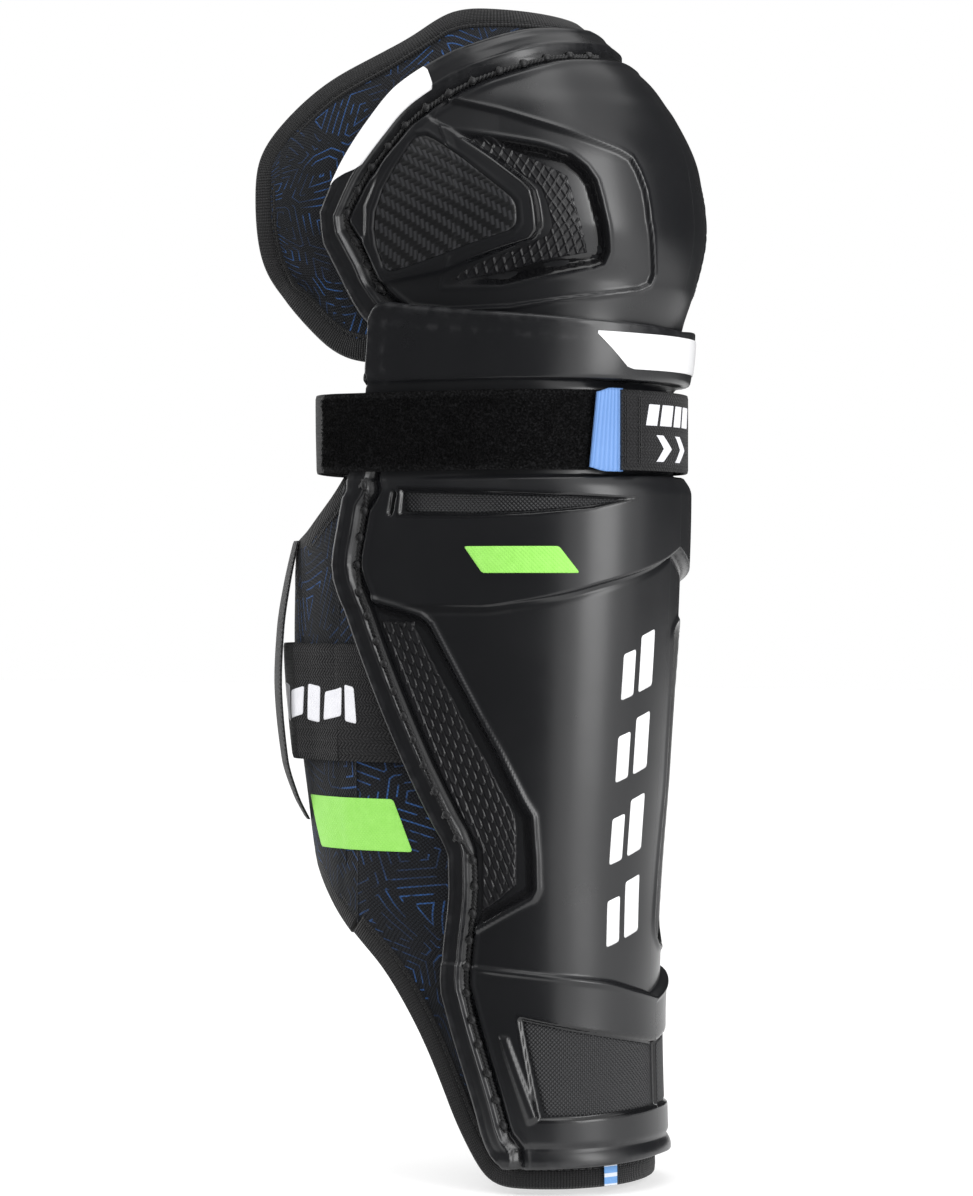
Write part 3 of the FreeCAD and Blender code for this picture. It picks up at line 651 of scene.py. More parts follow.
def merged(name, parts):
    """One mesh from several (points, faces, plan) parts."""
    points, plans, by_size = [], [], {}
    start = 0
    for part_points, faces, plan in parts:
        points.append(part_points)
        plans.append(plan)
        for group in faces:
            by_size.setdefault(group.shape[1], []).append(group + start)
        start += len(part_points)
    made = make_mesh(name, np.concatenate(points), [np.concatenate(g) for g in by_size.values()])
    set_plan(made, np.concatenate(plans))
    fix_winding(made)
    return made


def unit(v):
    return v / np.maximum(np.linalg.norm(v, axis=-1, keepdims=True), 1e-9)


def smooth_path(points, passes):
    points = np.array(points, float)
    for _ in range(passes):
        points[1:-1] = 0.25 * points[:-2] + 0.5 * points[1:-1] + 0.25 * points[2:]
    return points


def thread(path, out, radius=0.62, twist=3.2, offset=0.42, sides=7):
    """Two twisted strands along a path; out is the direction away from the surface at each point."""
    path = np.asarray(path, float)
    tangent = unit(np.gradient(path, axis=0))
    side = unit(np.cross(tangent, out))
    up = unit(np.cross(side, tangent))
    run = np.concatenate([[0], np.cumsum(np.linalg.norm(np.diff(path, axis=0), axis=1))])
    angle = np.linspace(0, 2 * math.pi, sides, endpoint=False)
    ring = np.stack([np.cos(angle), np.sin(angle)], -1) * radius
    parts = []
    for phase in (0, math.pi):
        turn = 2 * math.pi * run / twist + phase
        middle = path + offset * (side * np.cos(turn)[:, None] + up * np.sin(turn)[:, None])
        parts.append(sweep(middle, (side, up), ring))
    return parts


def ball(centre, axes, radii, rings=7, sides=10):
    """Stretched ball with its long axis along axes[0]."""
    lat = np.linspace(-math.pi / 2, math.pi / 2, rings)
    lon = np.linspace(0, 2 * math.pi, sides, endpoint=False)
    a, b = np.meshgrid(lat, lon, indexing="ij")
    unit_points = np.stack([np.sin(a), np.cos(a) * np.cos(b), np.cos(a) * np.sin(b)], -1) * np.array(radii)
    points = centre + unit_points.reshape(-1, 3) @ np.array(axes)
    i, j = np.meshgrid(np.arange(rings - 1), np.arange(sides), indexing="ij")
    nj = (j + 1) % sides
    quads = np.stack([i * sides + j, (i + 1) * sides + j, (i + 1) * sides + nj, i * sides + nj],
                     -1).reshape(-1, 4)
    return points, [quads], np.zeros((len(points), 2))


def lock_stitches(name, line, pitch, body, node):
    """Twisted cord along a groove with a knot and a short cross stitch at every pitch, on both sides."""
    parts = []
    rng = np.random.default_rng(len(name))
    for side in (-1, 1):
        path, out = line(side)
        parts += thread(path + out * 0.1, out)
        run = np.concatenate([[0], np.cumsum(np.linalg.norm(np.diff(path, axis=0), axis=1))])
        for stop in np.arange(3.0, run[-1] - 2, pitch):
            stop = stop + rng.normal(0, 0.35)
            here = np.array([np.interp(stop, run, path[:, k]) for k in range(3)])
            ahead = np.array([np.interp(stop + 0.5, run, path[:, k]) for k in range(3)])
            n = unit(np.array([np.interp(stop, run, out[:, k]) for k in range(3)]))
            t = unit(ahead - here)
            t = unit(t - n * np.dot(t, n))
            across = np.cross(n, t)
            lean = unit(t + across * rng.normal(0.25, 0.2))
            lean = unit(lean - n * np.dot(lean, n))
            parts.append(ball(here + n * 0.75, [lean, unit(np.cross(n, lean)), n],
                              [1.75 + rng.normal(0, 0.12), 1.45, 1.25]))
            for tilt in (-0.5, 0.5):
                start = here + n * 0.9 + t * tilt
                end = here + across * side * -2.6 - n * 0.1 + t * tilt * 0.4
                s = np.linspace(0, 1, 6)[:, None]
                arc = start + (end - start) * s + n * 0.6 * np.sin(math.pi * s)
                angle = np.linspace(0, 2 * math.pi, 6, endpoint=False)
                ring = np.stack([np.cos(angle), np.sin(angle)], -1) * 0.42
                parts.append(sweep(arc, (np.repeat(t[None], 6, 0), np.repeat(n[None], 6, 0)), ring))
    return dress(merged(name, parts), "stitch_thread", "stitch_thread", body, (node,))


# ---------------------------------------------------------------- materials
def new_material(name):
    made = bpy.data.materials.new(name)
    made.use_nodes = True
    return made, Graph(made.node_tree)


class Graph:
    """Short calls for building a node tree."""

    def __init__(self, tree):
        self.tree = tree
        self.shader = tree.nodes["Principled BSDF"]
        self.height = None

    def node(self, kind, settings=None, **inputs):
        made = self.tree.nodes.new(kind)
        for key, value in (settings or {}).items():
            setattr(made, key, value)
        for key, value in inputs.items():
            self.put(made.inputs[int(key[1:]) if key[0] == "i" and key[1:].isdigit() else key.replace("_",
                                                                                                      " ")],
                     value)
        return made

    def put(self, socket, value):
        if isinstance(value, bpy.types.NodeSocket):
            self.tree.links.new(value, socket)
        else:
            socket.default_value = value

    def math(self, operation, a, b=0.0, clamp=False):
        made = self.node("ShaderNodeMath", {"operation": operation, "use_clamp": clamp}, i0=a, i1=b)
        return made.outputs[0]

    def position(self):
        return self.node("ShaderNodeTexCoord").outputs["Object"]

    def axes(self, vector=None):
        split = self.node("ShaderNodeSeparateXYZ", i0=vector or self.position())
        return split.outputs[0], split.outputs[1], split.outputs[2]

    def vector(self, x, y, z):
        return self.node("ShaderNodeCombineXYZ", i0=x, i1=y, i2=z).outputs[0]

    def noise(self, scale, detail=3.0, rough=0.55, vector=None):
        made = self.node("ShaderNodeTexNoise", i0=vector or self.position(), Scale=scale, Detail=detail,
                         Roughness=rough)
        return made.outputs["Fac"]

    def ramp(self, value, low, high, out_low=0.0, out_high=1.0):
        made = self.node("ShaderNodeMapRange", {"interpolation_type": "SMOOTHSTEP"}, i0=value, i1=low,
                         i2=high,
                         i3=out_low, i4=out_high)
        return made.outputs[0]

    def blend(self, amount, a, b):
        made = self.node("ShaderNodeMix", {"data_type": "RGBA"})
        self.put(made.inputs[0], amount)
        self.put(made.inputs[6], a)
        self.put(made.inputs[7], b)
        return made.outputs[2]

    def attribute(self, name):
        return self.node("ShaderNodeAttribute", {"attribute_name": name}).outputs["Fac"]

    def map_uv(self):
        """The piece's own (along, across) position in millimetres, kept in its UV map."""
        return self.axes(self.node("ShaderNodeUVMap", {"uv_map": "plan"}).outputs[0])

    def add_height(self, value, amount):
        scaled = self.math("MULTIPLY", value, amount)
        self.height = scaled if self.height is None else self.math("ADD", self.height, scaled)

    def finish(self, color, roughness, bump_strength=1.0, distance=0.001, **fixed):
        self.put(self.shader.inputs["Base Color"], color)
        self.put(self.shader.inputs["Roughness"], roughness)
        for key, value in fixed.items():
            self.shader.inputs[key.replace("_", " ")].default_value = value
        if self.height is not None:
            made = self.node("ShaderNodeBump", Strength=bump_strength, Distance=distance, Height=self.height)
            self.tree.links.new(made.outputs[0], self.shader.inputs["Normal"])


def rgb(r, g, b):
    return (r, g, b, 1.0)


def cap_plastic():
    """Black satin moulded plastic with a fine grain, faint flow marks, rubbed edges, and painted shade with a glossier
    finish in the hollows and grooves.
    """
    made, g = new_material("cap_plastic")
    grain = g.noise(2600, 2.0)
    cloud = g.noise(26, 4.0)
    wear = g.math("MULTIPLY", g.attribute("wear"), g.ramp(g.noise(210, 5.0), 0.4, 0.7))
    color = g.blend(cloud, rgb(0.0062, 0.0065, 0.0076), rgb(0.0088, 0.0091, 0.0104))
    color = g.blend(g.math("MULTIPLY", wear, 0.35), color, rgb(0.045, 0.045, 0.048))
    # painted shade: the colour goes darker in the hollows, grooves and slots, where the roughness below also drops for
    # a glossier finish
    color = g.blend(g.attribute("gloss"), color, rgb(0.004, 0.004, 0.0045))
    rough = g.ramp(cloud, 0.3, 0.7, 0.27, 0.33)
    rough = g.math("SUBTRACT", rough, g.math("MULTIPLY", g.attribute("gloss"), 0.19))
    rough = g.math("ADD", rough, g.math("MULTIPLY", wear, 0.08), clamp=True)
    g.add_height(grain, 0.000006)
    g.add_height(g.noise(70, 3.0), 0.00004)
    g.finish(color, rough, 1.0, 1.0, Specular_IOR_Level=0.5, Coat_Weight=0.10, Coat_Roughness=0.2)
    return made


# ---------------------------------------------------------------- more materials
def grip_plastic():
    """Textured black plastic of the side hollows."""
    made, g = new_material("grip_plastic")
    g.add_height(g.noise(1800, 2.0), 0.00004)
    g.finish(g.blend(g.noise(60), rgb(0.006, 0.006, 0.007), rgb(0.011, 0.011, 0.0125)), 0.34, 1.0, 1.0,
             Specular_IOR_Level=0.5)
    return made


def weave(g, pitch, angle_deg, vector=None):
    """Height of a plain weave, from 0 to 1."""
    x, y, _ = g.map_uv() if vector is None else vector
    a = math.radians(angle_deg)
    u = g.math("ADD", g.math("MULTIPLY", x, math.cos(a) * math.pi / pitch),
               g.math("MULTIPLY", y, math.sin(a) * math.pi / pitch))
    v = g.math("ADD", g.math("MULTIPLY", x, -math.sin(a) * math.pi / pitch),
               g.math("MULTIPLY", y, math.cos(a) * math.pi / pitch))
    su = g.math("ABSOLUTE", g.math("SINE", u))
    sv = g.math("ABSOLUTE", g.math("SINE", v))
    return g.math("MULTIPLY", su, sv)


def carbon_plate():
    """Dark satin plate with the diagonal ribs of a twill: two threads over, two under, a step each row."""
    made, g = new_material("carbon_plate")
    x, y, _ = g.map_uv()
    pitch, lean = 1.7, math.radians(-14)
    u = g.math("ADD", g.math("MULTIPLY", x, math.cos(lean) / pitch),
               g.math("MULTIPLY", y, math.sin(lean) / pitch))
    v = g.math("ADD", g.math("MULTIPLY", x, -math.sin(lean) / pitch),
               g.math("MULTIPLY", y, math.cos(lean) / pitch))
    step = g.math("SUBTRACT", g.math("FLOOR", u), g.math("FLOOR", v))
    over = g.math("LESS_THAN", g.math("FRACT", g.math("MULTIPLY", step, 0.25)), 0.5)
    under = g.math("SUBTRACT", 1.0, over)
    across = g.math("ABSOLUTE", g.math("SINE", g.math("MULTIPLY", u, math.pi)))
    along = g.math("ABSOLUTE", g.math("SINE", g.math("MULTIPLY", v, math.pi)))
    height = g.math("ADD", g.math("MULTIPLY", over, across), g.math("MULTIPLY", under, along))
    color = g.blend(g.math("MULTIPLY", over, across), rgb(0.005, 0.0052, 0.006), rgb(0.024, 0.0245, 0.027))
    g.add_height(height, 0.00010)
    g.finish(color, g.math("SUBTRACT", 0.44, g.math("MULTIPLY", over, 0.10)), 1.0, 1.0, Coat_Weight=0.15,
             Coat_Roughness=0.2)
    return made


def vent_mesh():
    """Fine woven mesh insert."""
    made, g = new_material("vent_mesh")
    cell = weave(g, 1.15, 45)
    color = g.blend(cell, rgb(0.002, 0.002, 0.003), rgb(0.024, 0.0245, 0.027))
    g.add_height(cell, 0.0003)
    g.finish(color, 0.55, 1.0, 1.0)
    return made


def badge_white():
    made, g = new_material("badge_white")
    g.add_height(g.noise(900), 0.00002)
    g.finish(g.blend(g.noise(45), rgb(0.74, 0.74, 0.75), rgb(0.80, 0.80, 0.81)), 0.32, 1.0, 1.0,
             Coat_Weight=0.3,
             Coat_Roughness=0.15)
    return made


def print_green():
    made, g = new_material("print_green")
    g.add_height(weave(g, 1.1, 45), 0.0001)
    g.finish(g.blend(g.noise(320), rgb(0.22, 0.58, 0.07), rgb(0.30, 0.68, 0.12)), 0.55, 1.0, 1.0)
    return made


def print_white():
    made, g = new_material("print_white")
    g.add_height(weave(g, 1.1, 45), 0.0001)
    g.finish(g.blend(g.noise(300), rgb(0.62, 0.62, 0.66), rgb(0.75, 0.75, 0.78)), 0.6, 1.0, 1.0)
    return made


def stitch_thread():
    made, g = new_material("stitch_thread")
    g.add_height(g.noise(3000, 2.0), 0.0001)
    g.finish(rgb(0.006, 0.006, 0.007), 0.52, 1.0, 1.0, Sheen_Weight=0.15, Sheen_Roughness=0.4)
    return made


def liner_fabric():
    """Navy twill with thin blue contour lines outside and a grey brushed lining inside."""
    made, g = new_material("liner_fabric")
    x, y, _ = g.map_uv()
    point = g.vector(x, y, 0.0)
    cells = g.node("ShaderNodeTexVoronoi", {"voronoi_dimensions": "2D", "feature": "DISTANCE_TO_EDGE"},
                   i0=point,
                   Scale=1 / 23.0, Randomness=0.55)
    rings = g.math("FRACT", g.math("MULTIPLY", cells.outputs["Distance"], 23.0 / 3.3))
    line = g.math("SUBTRACT", 1.0, g.ramp(g.math("ABSOLUTE", g.math("SUBTRACT", rings, 0.5)), 0.05, 0.12))
    patchy = g.ramp(g.node("ShaderNodeTexNoise", i0=point, Scale=0.040, Detail=1.0).outputs["Fac"], 0.42,
                    0.62)
    broken = g.ramp(g.node("ShaderNodeTexNoise", i0=point, Scale=0.15, Detail=0.0).outputs["Fac"], 0.40, 0.46)
    line = g.math("MULTIPLY", g.math("MULTIPLY", line, broken),
                  g.math("ADD", 0.16, g.math("MULTIPLY", patchy, 0.6)))
    cloth = weave(g, 1.1, 38)
    base = g.blend(cloth, rgb(0.001, 0.0014, 0.0025), rgb(0.0075, 0.010, 0.0155))
    color = g.blend(g.math("MULTIPLY", line, g.ramp(cloth, 0.0, 0.5, 0.45, 1.0)), base,
                    rgb(0.017, 0.085, 0.27))
    inner = g.attribute("inner")
    lining = g.blend(g.noise(500, 4.0), rgb(0.030, 0.032, 0.036), rgb(0.060, 0.062, 0.068))
    color = g.blend(inner, color, lining)
    g.add_height(cloth, 0.00022)
    g.add_height(g.noise(120, 3.0), 0.0003)
    g.finish(color, 0.78, 1.0, 1.0, Sheen_Weight=0.06, Sheen_Roughness=0.5, Specular_IOR_Level=0.25)
    return made


def binding_fabric():
    """Black ribbed edge binding: ribs run across the tape."""
    made, g = new_material("binding_fabric")
    x, y, _ = g.map_uv()
    rib = g.math("ABSOLUTE", g.math("SINE", g.math("MULTIPLY", x, math.pi / 1.05)))
    row = g.math("ABSOLUTE", g.math("SINE", g.math("MULTIPLY", y, math.pi / 0.8)))
    knit = g.math("MULTIPLY", rib, g.math("ADD", 0.45, g.math("MULTIPLY", row, 0.55)))
    color = g.blend(knit, rgb(0.0015, 0.0015, 0.002), rgb(0.011, 0.011, 0.012))
    g.add_height(knit, 0.0004)
    g.add_height(g.noise(160, 3.0), 0.0003)
    g.finish(color, 0.74, 1.0, 1.0, Sheen_Weight=0.10, Sheen_Roughness=0.45, Specular_IOR_Level=0.3)
    return made


def pad_fabric():
    made, g = new_material("pad_fabric")
    g.add_height(g.noise(700, 4.0), 0.0002)
    g.finish(g.blend(g.noise(420, 4.0), rgb(0.05, 0.053, 0.06), rgb(0.09, 0.094, 0.105)), 0.85, 1.0, 1.0,
             Sheen_Weight=0.3, Sheen_Roughness=0.5)
    return made


def strap_elastic():
    """Black woven elastic with a herringbone face and plain selvages."""
    made, g = new_material("strap_elastic")
    x, y, _ = g.map_uv()
    band = g.math("PINGPONG", y, 2.4)
    slope = g.math("ADD", g.math("MULTIPLY", x, 1 / 1.5), g.math("MULTIPLY", band, 1 / 1.7))
    rib = g.math("ABSOLUTE", g.math("SINE", g.math("MULTIPLY", slope, math.pi)))
    cord = g.math("ABSOLUTE", g.math("SINE", g.math("MULTIPLY", y, math.pi / 1.2)))
    face = g.math("MULTIPLY", rib, g.math("ADD", 0.5, g.math("MULTIPLY", cord, 0.5)))
    color = g.blend(face, rgb(0.0012, 0.0012, 0.0015), rgb(0.012, 0.012, 0.0135))
    g.add_height(face, 0.0004)
    g.add_height(g.noise(90, 3.0), 0.0004)
    g.finish(color, 0.72, 1.0, 1.0, Sheen_Weight=0.08, Sheen_Roughness=0.4, Specular_IOR_Level=0.3)
    return made


def keeper_webbing():
    made, g = new_material("keeper_webbing")
    face = weave(g, 1.3, 45)
    g.add_height(face, 0.0004)
    g.finish(g.blend(face, rgb(0.003, 0.003, 0.003), rgb(0.022, 0.022, 0.025)), 0.7, 1.0, 1.0,
             Sheen_Weight=0.1)
    return made


def loop_pile():
    """Matted loop pile."""
    made, g = new_material("loop_pile")
    fine = g.noise(1300, 4.0)
    g.add_height(fine, 0.0009)
    g.add_height(g.noise(150, 3.0), 0.0006)
    color = g.blend(g.ramp(fine, 0.42, 0.75), rgb(0.0008, 0.0008, 0.001), rgb(0.014, 0.014, 0.015))
    g.finish(color, 0.95, 1.0, 1.0, Sheen_Weight=0.02, Sheen_Roughness=0.5, Specular_IOR_Level=0.1)
    return made


def hook_tape():
    made, g = new_material("hook_tape")
    x, y, _ = g.map_uv()
    dots = g.math("MULTIPLY", g.math("ABSOLUTE", g.math("SINE", g.math("MULTIPLY", x, math.pi / 1.2))),
                  g.math("ABSOLUTE", g.math("SINE", g.math("MULTIPLY", y, math.pi / 1.2))))
    g.add_height(g.ramp(dots, 0.5, 0.9), 0.0008)
    g.finish(rgb(0.012, 0.012, 0.013), 0.45, 1.0, 1.0)
    return made


def tab_blue():
    """Soft blue moulded tab with fine ribs."""
    made, g = new_material("tab_blue")
    x, y, _ = g.map_uv()
    rib = g.math("ABSOLUTE", g.math("SINE", g.math("MULTIPLY", x, math.pi / 1.6)))
    g.add_height(rib, 0.00025)
    g.add_height(g.noise(260, 3.0), 0.0001)
    g.finish(g.blend(g.noise(90), rgb(0.105, 0.225, 0.50), rgb(0.13, 0.26, 0.55)), 0.5, 1.0, 1.0)
    return made


def label_satin():
    made, g = new_material("label_satin")
    x, y, _ = g.map_uv()
    stripe = g.ramp(g.math("ABSOLUTE", g.math("SUBTRACT", g.math("FRACT", g.math("MULTIPLY", y, 0.25)), 0.5)),
                    0.30, 0.34)
    g.add_height(weave(g, 0.6, 0), 0.0001)
    g.finish(g.blend(stripe, rgb(0.12, 0.30, 0.62), rgb(0.62, 0.66, 0.72)), 0.5, 1.0, 1.0, Sheen_Weight=0.2)
    return made


MATERIALS = {}


def dress(piece, material, slot, body=None, replaces=()):
    """Gives a piece its material, its record slot, the body it rides on and the CAD nodes it stands for."""
    if material not in MATERIALS:
        MATERIALS[material] = globals()[material]()
    piece.data.materials.clear()
    piece.data.materials.append(MATERIALS[material])
    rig.slot(piece, slot)
    if body:
        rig.ride(piece, body)
    if replaces:
        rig.replaces(piece, *replaces)
    return piece


def set_float(piece, name, values):
    """Per-point number for the material; points past the end of the list get 0."""
    layer = piece.data.attributes.new(name, "FLOAT", "POINT")
    full = np.zeros(len(piece.data.vertices), np.float32)
    values = np.asarray(values, np.float32).ravel()
    full[:len(values)] = values
    layer.data.foreach_set("value", full)


# ---------------------------------------------------------------- shin cap
def cap_outline(section_point_map, edges):
    """The cap's own outline in the (distance round, height) map, for one side from the front line back."""
    low, high = edges
    w = np.linspace(0, 2, 60)
    bottom = [(section_point_map(v, smooth(low, v)), smooth(low, v)) for v in w]
    rear = [(section_point_map(2.0, z), z) for z in np.linspace(smooth(low, 2.0), smooth(high, 2.0),
                                                                60)[1:-1]]
    top = [(section_point_map(v, smooth(high, v)), smooth(high, v)) for v in w[::-1]]
    return [(float(s), float(z)) for s, z in bottom + rear + top]


def shin_girth(w, z):
    return girth(SHIN, w, z, smooth(SHIN_REAR, z))


def knee_girth(w, z):
    return girth(KNEE, w, z, KNEE_REAR_X)


SHIN_OUTLINE = cap_outline(shin_girth, (SHIN_BOTTOM_EDGE, SHIN_TOP_EDGE))
KNEE_OUTLINE = cap_outline(knee_girth, (KNEE_BOTTOM_EDGE, KNEE_TOP_EDGE))
SHIN_TOP_LINE = [p for p in SHIN_OUTLINE[118:] if p[1] > 320]
# The stitched groove follows the rear edge only.
SHIN_REAR_LINE = [p for p in SHIN_OUTLINE if p[0] > 72 and p[1] < 332]
KNEE_RIM_LINE = [p for p in KNEE_OUTLINE if p[1] > 350 or p[0] > 105]


def flange_relief(distance, depth):
    """Lip round a cap: a rounded bead, a flat band, a fine ridge, a stitched groove and a shoulder."""
    lip = 1.0 * (1 - ease(distance, FLANGE - 0.7, FLANGE + 0.7))
    bead = 0.30 * bump(distance - 1.5, 0.7) - 0.15 * bump(distance - 3.0, 0.8)
    ridge = 0.55 * bump(distance - FLANGE + 0.4, 0.55)
    groove = -depth * bump(distance - SEAM, 1.8)
    shoulder = 0.6 * bump(distance - SEAM - 3.2, 1.0)
    return lip + bead + ridge + groove + shoulder


def shin_relief(s, z):
    """Height of the moulded features on one side of the shin cap, and a mask for the hollow walls and grooves that
    makes them glossier and paints shade into their colour.
    """
    rear = path_distance(s, z, SHIN_REAR_LINE)
    below = 1 - ease(z, 266, 300)
    lift = flange_relief(rear, 2.0) * below
    # mask for painted shade and a glossier finish, starting with the stitched groove; the slot, bar, hollow and panel
    # edges below add to it
    gloss = 0.6 * bump(rear - SEAM, 1.8) * below
    fade = 1 - ease(s, 96, 116)
    # collar above the strap channel, with a rolled top edge
    lift = lift + ease(z, 303.5, 306.0) * (1.6 + 1.8 * (1 - ease(s, 20, 70)))
    top = path_distance(s, z, SHIN_TOP_LINE)
    lift = lift + 0.45 * bump(top - 1.8, 1.0) * ease(s, 44, 52)
    # upper plate between the channel and its slanting lower edge
    plate = ease(z - smooth(PLATE_EDGE, s), -0.6, 0.9) * (1 - ease(z, 266.5, 269))
    lift = lift + plate * (1.2 + 2.5 * (1 - ease(s, 10, 85))) * (0.35 + 0.65 * fade)
    lift = lift - 0.6 * bump(z - smooth(PLATE_EDGE, s) + 2.2, 1.0) * fade
    slot = outline_depth(s, z, VENT_SLOT)
    lift = lift - 1.8 * ease(slot, -0.2, 0.8)
    bar = path_distance(s, z, [(122.6, 262), (124, 255)])
    lift = lift - 1.6 * (1 - ease(bar, 0.6, 1.6))
    gloss = np.maximum(gloss, np.maximum(0.8 * bump(slot, 0.8), 1 - ease(bar, 0.6, 1.6)))
    # side hollow
    ridge = path_distance(s, z, GRIP_RIDGE)
    pocket = outline_depth(s, z, GRIP_RIDGE + [(92, 101), (92, 130), (124, 192), (138, 219)])
    ahead = ease(rear - SEAM, 0.6, 3.2)
    lift = lift + 1.5 * bump(ridge, 1.0) * ahead - 2.4 * ease(pocket, 0.8, 3.6) * ahead
    gloss = np.maximum(gloss, 0.8 * ease(pocket, 0.2, 1.4) * (1 - ease(pocket, 3.8, 5)) * ahead)
    # ankle plate with its mesh panel and slanted bar
    ankle = ease(smooth(ANKLE_EDGE, s) - z, -0.6, 0.7)
    lift = lift + ankle * (1.0 + 2.0 * (1 - ease(s, 8, 62)))
    lift = lift + 0.7 * bump(smooth(ANKLE_EDGE, s) - z - 1.3, 0.9) * (1 - ease(s, 70, 84))
    panel = outline_depth(s, z, ANKLE_PANEL)
    lift = lift - 1.6 * ease(panel, -0.2, 0.9)
    slope = outline_depth(s, z, ANKLE_BAR)
    lift = lift + 1.5 * ease(slope, -0.9, 0.7)
    gloss = np.maximum(gloss, 0.8 * bump(panel, 0.9))
    # rolled lower rim
    lift = lift - 1.0 * bump(z - 16.2, 1.1) * (1 - ease(s, 60, 68)) + 0.8 * (1 - ease(z, 12, 15))
    return lift, gloss


VENT_RIM = [(5.5, 210), (8, 185), (8.5, 149), (4.5, 112), (2.5, 96), (10, 89), (24, 89), (30, 96), (28, 112),
            (25, 149), (26, 185), (23, 210), (15, 214)]


def vent_relief(s, z):
    """Front vent: a long opening just to the inner side of the front line, where s is positive; the second value is a
    mask round its edge for painted shade and gloss.
    """
    depth = outline_depth(s, z, [tuple(point) for point in rounded(VENT_RIM, 4.0)])
    return -1.3 * ease(depth, 0.2, 1.6) + 0.8 * bump(depth + 1.2, 1.2), bump(depth - 0.6, 1.0)


def soft_rim(distance, radius):
    """How far the skin drops where it rounds over to a free edge."""
    t = np.clip(1 - distance / radius, 0, 1)
    return radius * (1 - np.sqrt(1 - t * t))


def cap_mesh(name, profiles, edges, rear, relief, w_list, t_list, outline):
    """Fine outer skin with its moulded relief over a plain inner skin."""
    w, t = np.meshgrid(w_list, t_list, indexing="ij")
    aw = np.abs(w)
    z = smooth(edges[0], aw) + (smooth(edges[1], aw) - smooth(edges[0], aw)) * t
    rear_x = rear(z)
    base = section(profiles, w, z, 0.0, rear_x)
    n = normals(base)
    s = girth(profiles, w, z, rear_x)
    lift, gloss = relief(s, z, w)
    rim = path_distance(s, z, outline)
    lift = lift - soft_rim(rim, 1.1)
    outer = base + n * lift[..., None]
    inner = base - n * np.maximum(CAP_WALL - 0.6 * soft_rim(rim, 1.1), 1.0 - lift)[..., None]
    made = closed_sheet(name, outer, inner, 4, flat_rims=True)
    wear = bump(rim, 2.5) + 0.7 * bump(rim - FLANGE, 1.2)
    # painted shade and a glossier finish in the hollows; wear marks the rubbed edges
    set_float(made, "gloss", gloss)
    set_float(made, "wear", np.clip(wear, 0, 1))
    return made


def to_step(values, step):
    """Trims a list so that its length is one more than a multiple of step."""
    count = (len(values) - 1) // step * step + 1
    return np.interp(np.linspace(0, len(values) - 1, count), np.arange(len(values)), values)


def graded(stops, step):
    """Numbers from 0 to 1 along a line; stops lists (position, spacing from there on), the last is the end."""
    parts = [np.arange(a, b, gap) for (a, gap), (b, _) in zip(stops, stops[1:])]
    line = np.concatenate(parts + [[stops[-1][0]]])
    return to_step((line - line[0]) / (line[-1] - line[0]), step)


def shin_cap():
    columns = graded([(0, 0.002), (0.01, 0.006), (0.04, 0.0102), (0.98, 0.0086), (1.97, 0.004), (2, 0)],
                     4) * 2
    rows = graded([(8.4, 0.3), (10, 1.0), (16, 0.8), (60, 0.55), (92, 1.1), (212, 0.55), (272, 1.4),
                   (300, 0.55),
                   (328, 0.3), (330, 0)], 4)

    def relief(s, z, w):
        lift, gloss = shin_relief(s, z)
        # the vent's edge adds to the mask for painted shade and gloss
        vent, shine = vent_relief(s * np.sign(w), z)
        return lift + vent, np.maximum(gloss, shine)
    for name, side in SIDES:
        w_list = columns if side > 0 else -columns[::-1]
        made = cap_mesh(f"{name}_shin_cap_half", SHIN, (SHIN_BOTTOM_EDGE, SHIN_TOP_EDGE), shin_rear, relief,
                        w_list, rows, SHIN_OUTLINE)
        dress(made, "cap_plastic", "cap_plastic", "shin", ("shin_cap",) if side < 0 else ())


# ---------------------------------------------------------------- knee cap
def knee_relief(s, z, w):
    rim = path_distance(s, z, KNEE_RIM_LINE)
    lift = flange_relief(rim, 2.0)
    # the stitched groove, the hollow walls and the plateau bevel get a mask that makes them glossier and paints shade
    # into their colour
    gloss = 0.6 * bump(rim - SEAM, 1.8)
    crease = path_distance(s, z, KNEE_CREASE)
    within = outline_depth(s, z, KNEE_CREASE + [(125, 334), (140, 350), (140, 372), (120, 396)])
    lift = lift + 0.7 * bump(crease, 0.8) - 1.3 * ease(within, 0, 1.2) * (1 - ease(s, 104, 122))
    hollow = outline_depth(s, z, KNEE_HOLLOW)
    deep = 1 - ease(s, 78, 106)
    wall = ease(hollow, 0.0, 2.6)
    lift = lift - 4.9 * wall * (0.05 + 0.95 * deep) + 0.4 * bump(hollow + 0.8, 0.7)
    plateau = outline_depth(s, z, KNEE_PLATEAU)
    lift = lift + (5.6 * deep + 1.2) * ease(plateau, -2.6, 0.2)
    inset = outline_depth(s, z, CARBON)
    lift = lift - 0.7 * ease(inset, -0.5, 0.4) + 0.25 * bump(inset + 1.2, 0.6)
    # painted shade and a glossier finish on the hollow walls and round the plateau
    shine = ease(hollow, -0.6, 0.6) * (1 - ease(hollow, 3.4, 4.6))
    shine = np.maximum(shine, 0.8 * ease(plateau, -3.4, -2.2) * (1 - ease(plateau, 0.4, 1.2)))
    gloss = np.maximum(gloss, shine * deep)
    facet = ease(z, 411, 420) * (1 - ease(z, 420, 432)) * (1 - ease(s, 40, 75))
    return lift + 0.9 * facet, gloss


def knee_cap():
    columns = graded([(0, 0.002), (0.01, 0.007), (0.04, 0.016), (0.24, 0.0066), (1.97, 0.004), (2, 0)], 4) * 2
    rows = graded([(0, 0.002), (0.02, 0.0054), (0.98, 0.002), (1, 0)], 4)
    for name, side in SIDES:
        w_list = columns if side > 0 else -columns[::-1]
        made = cap_mesh(f"{name}_knee_cap_half", KNEE, (KNEE_BOTTOM_EDGE, KNEE_TOP_EDGE), knee_rear,
                        knee_relief,
                        w_list, rows, KNEE_OUTLINE)
        dress(made, "cap_plastic", "cap_plastic", "knee", ("knee_cap",) if side < 0 else ())


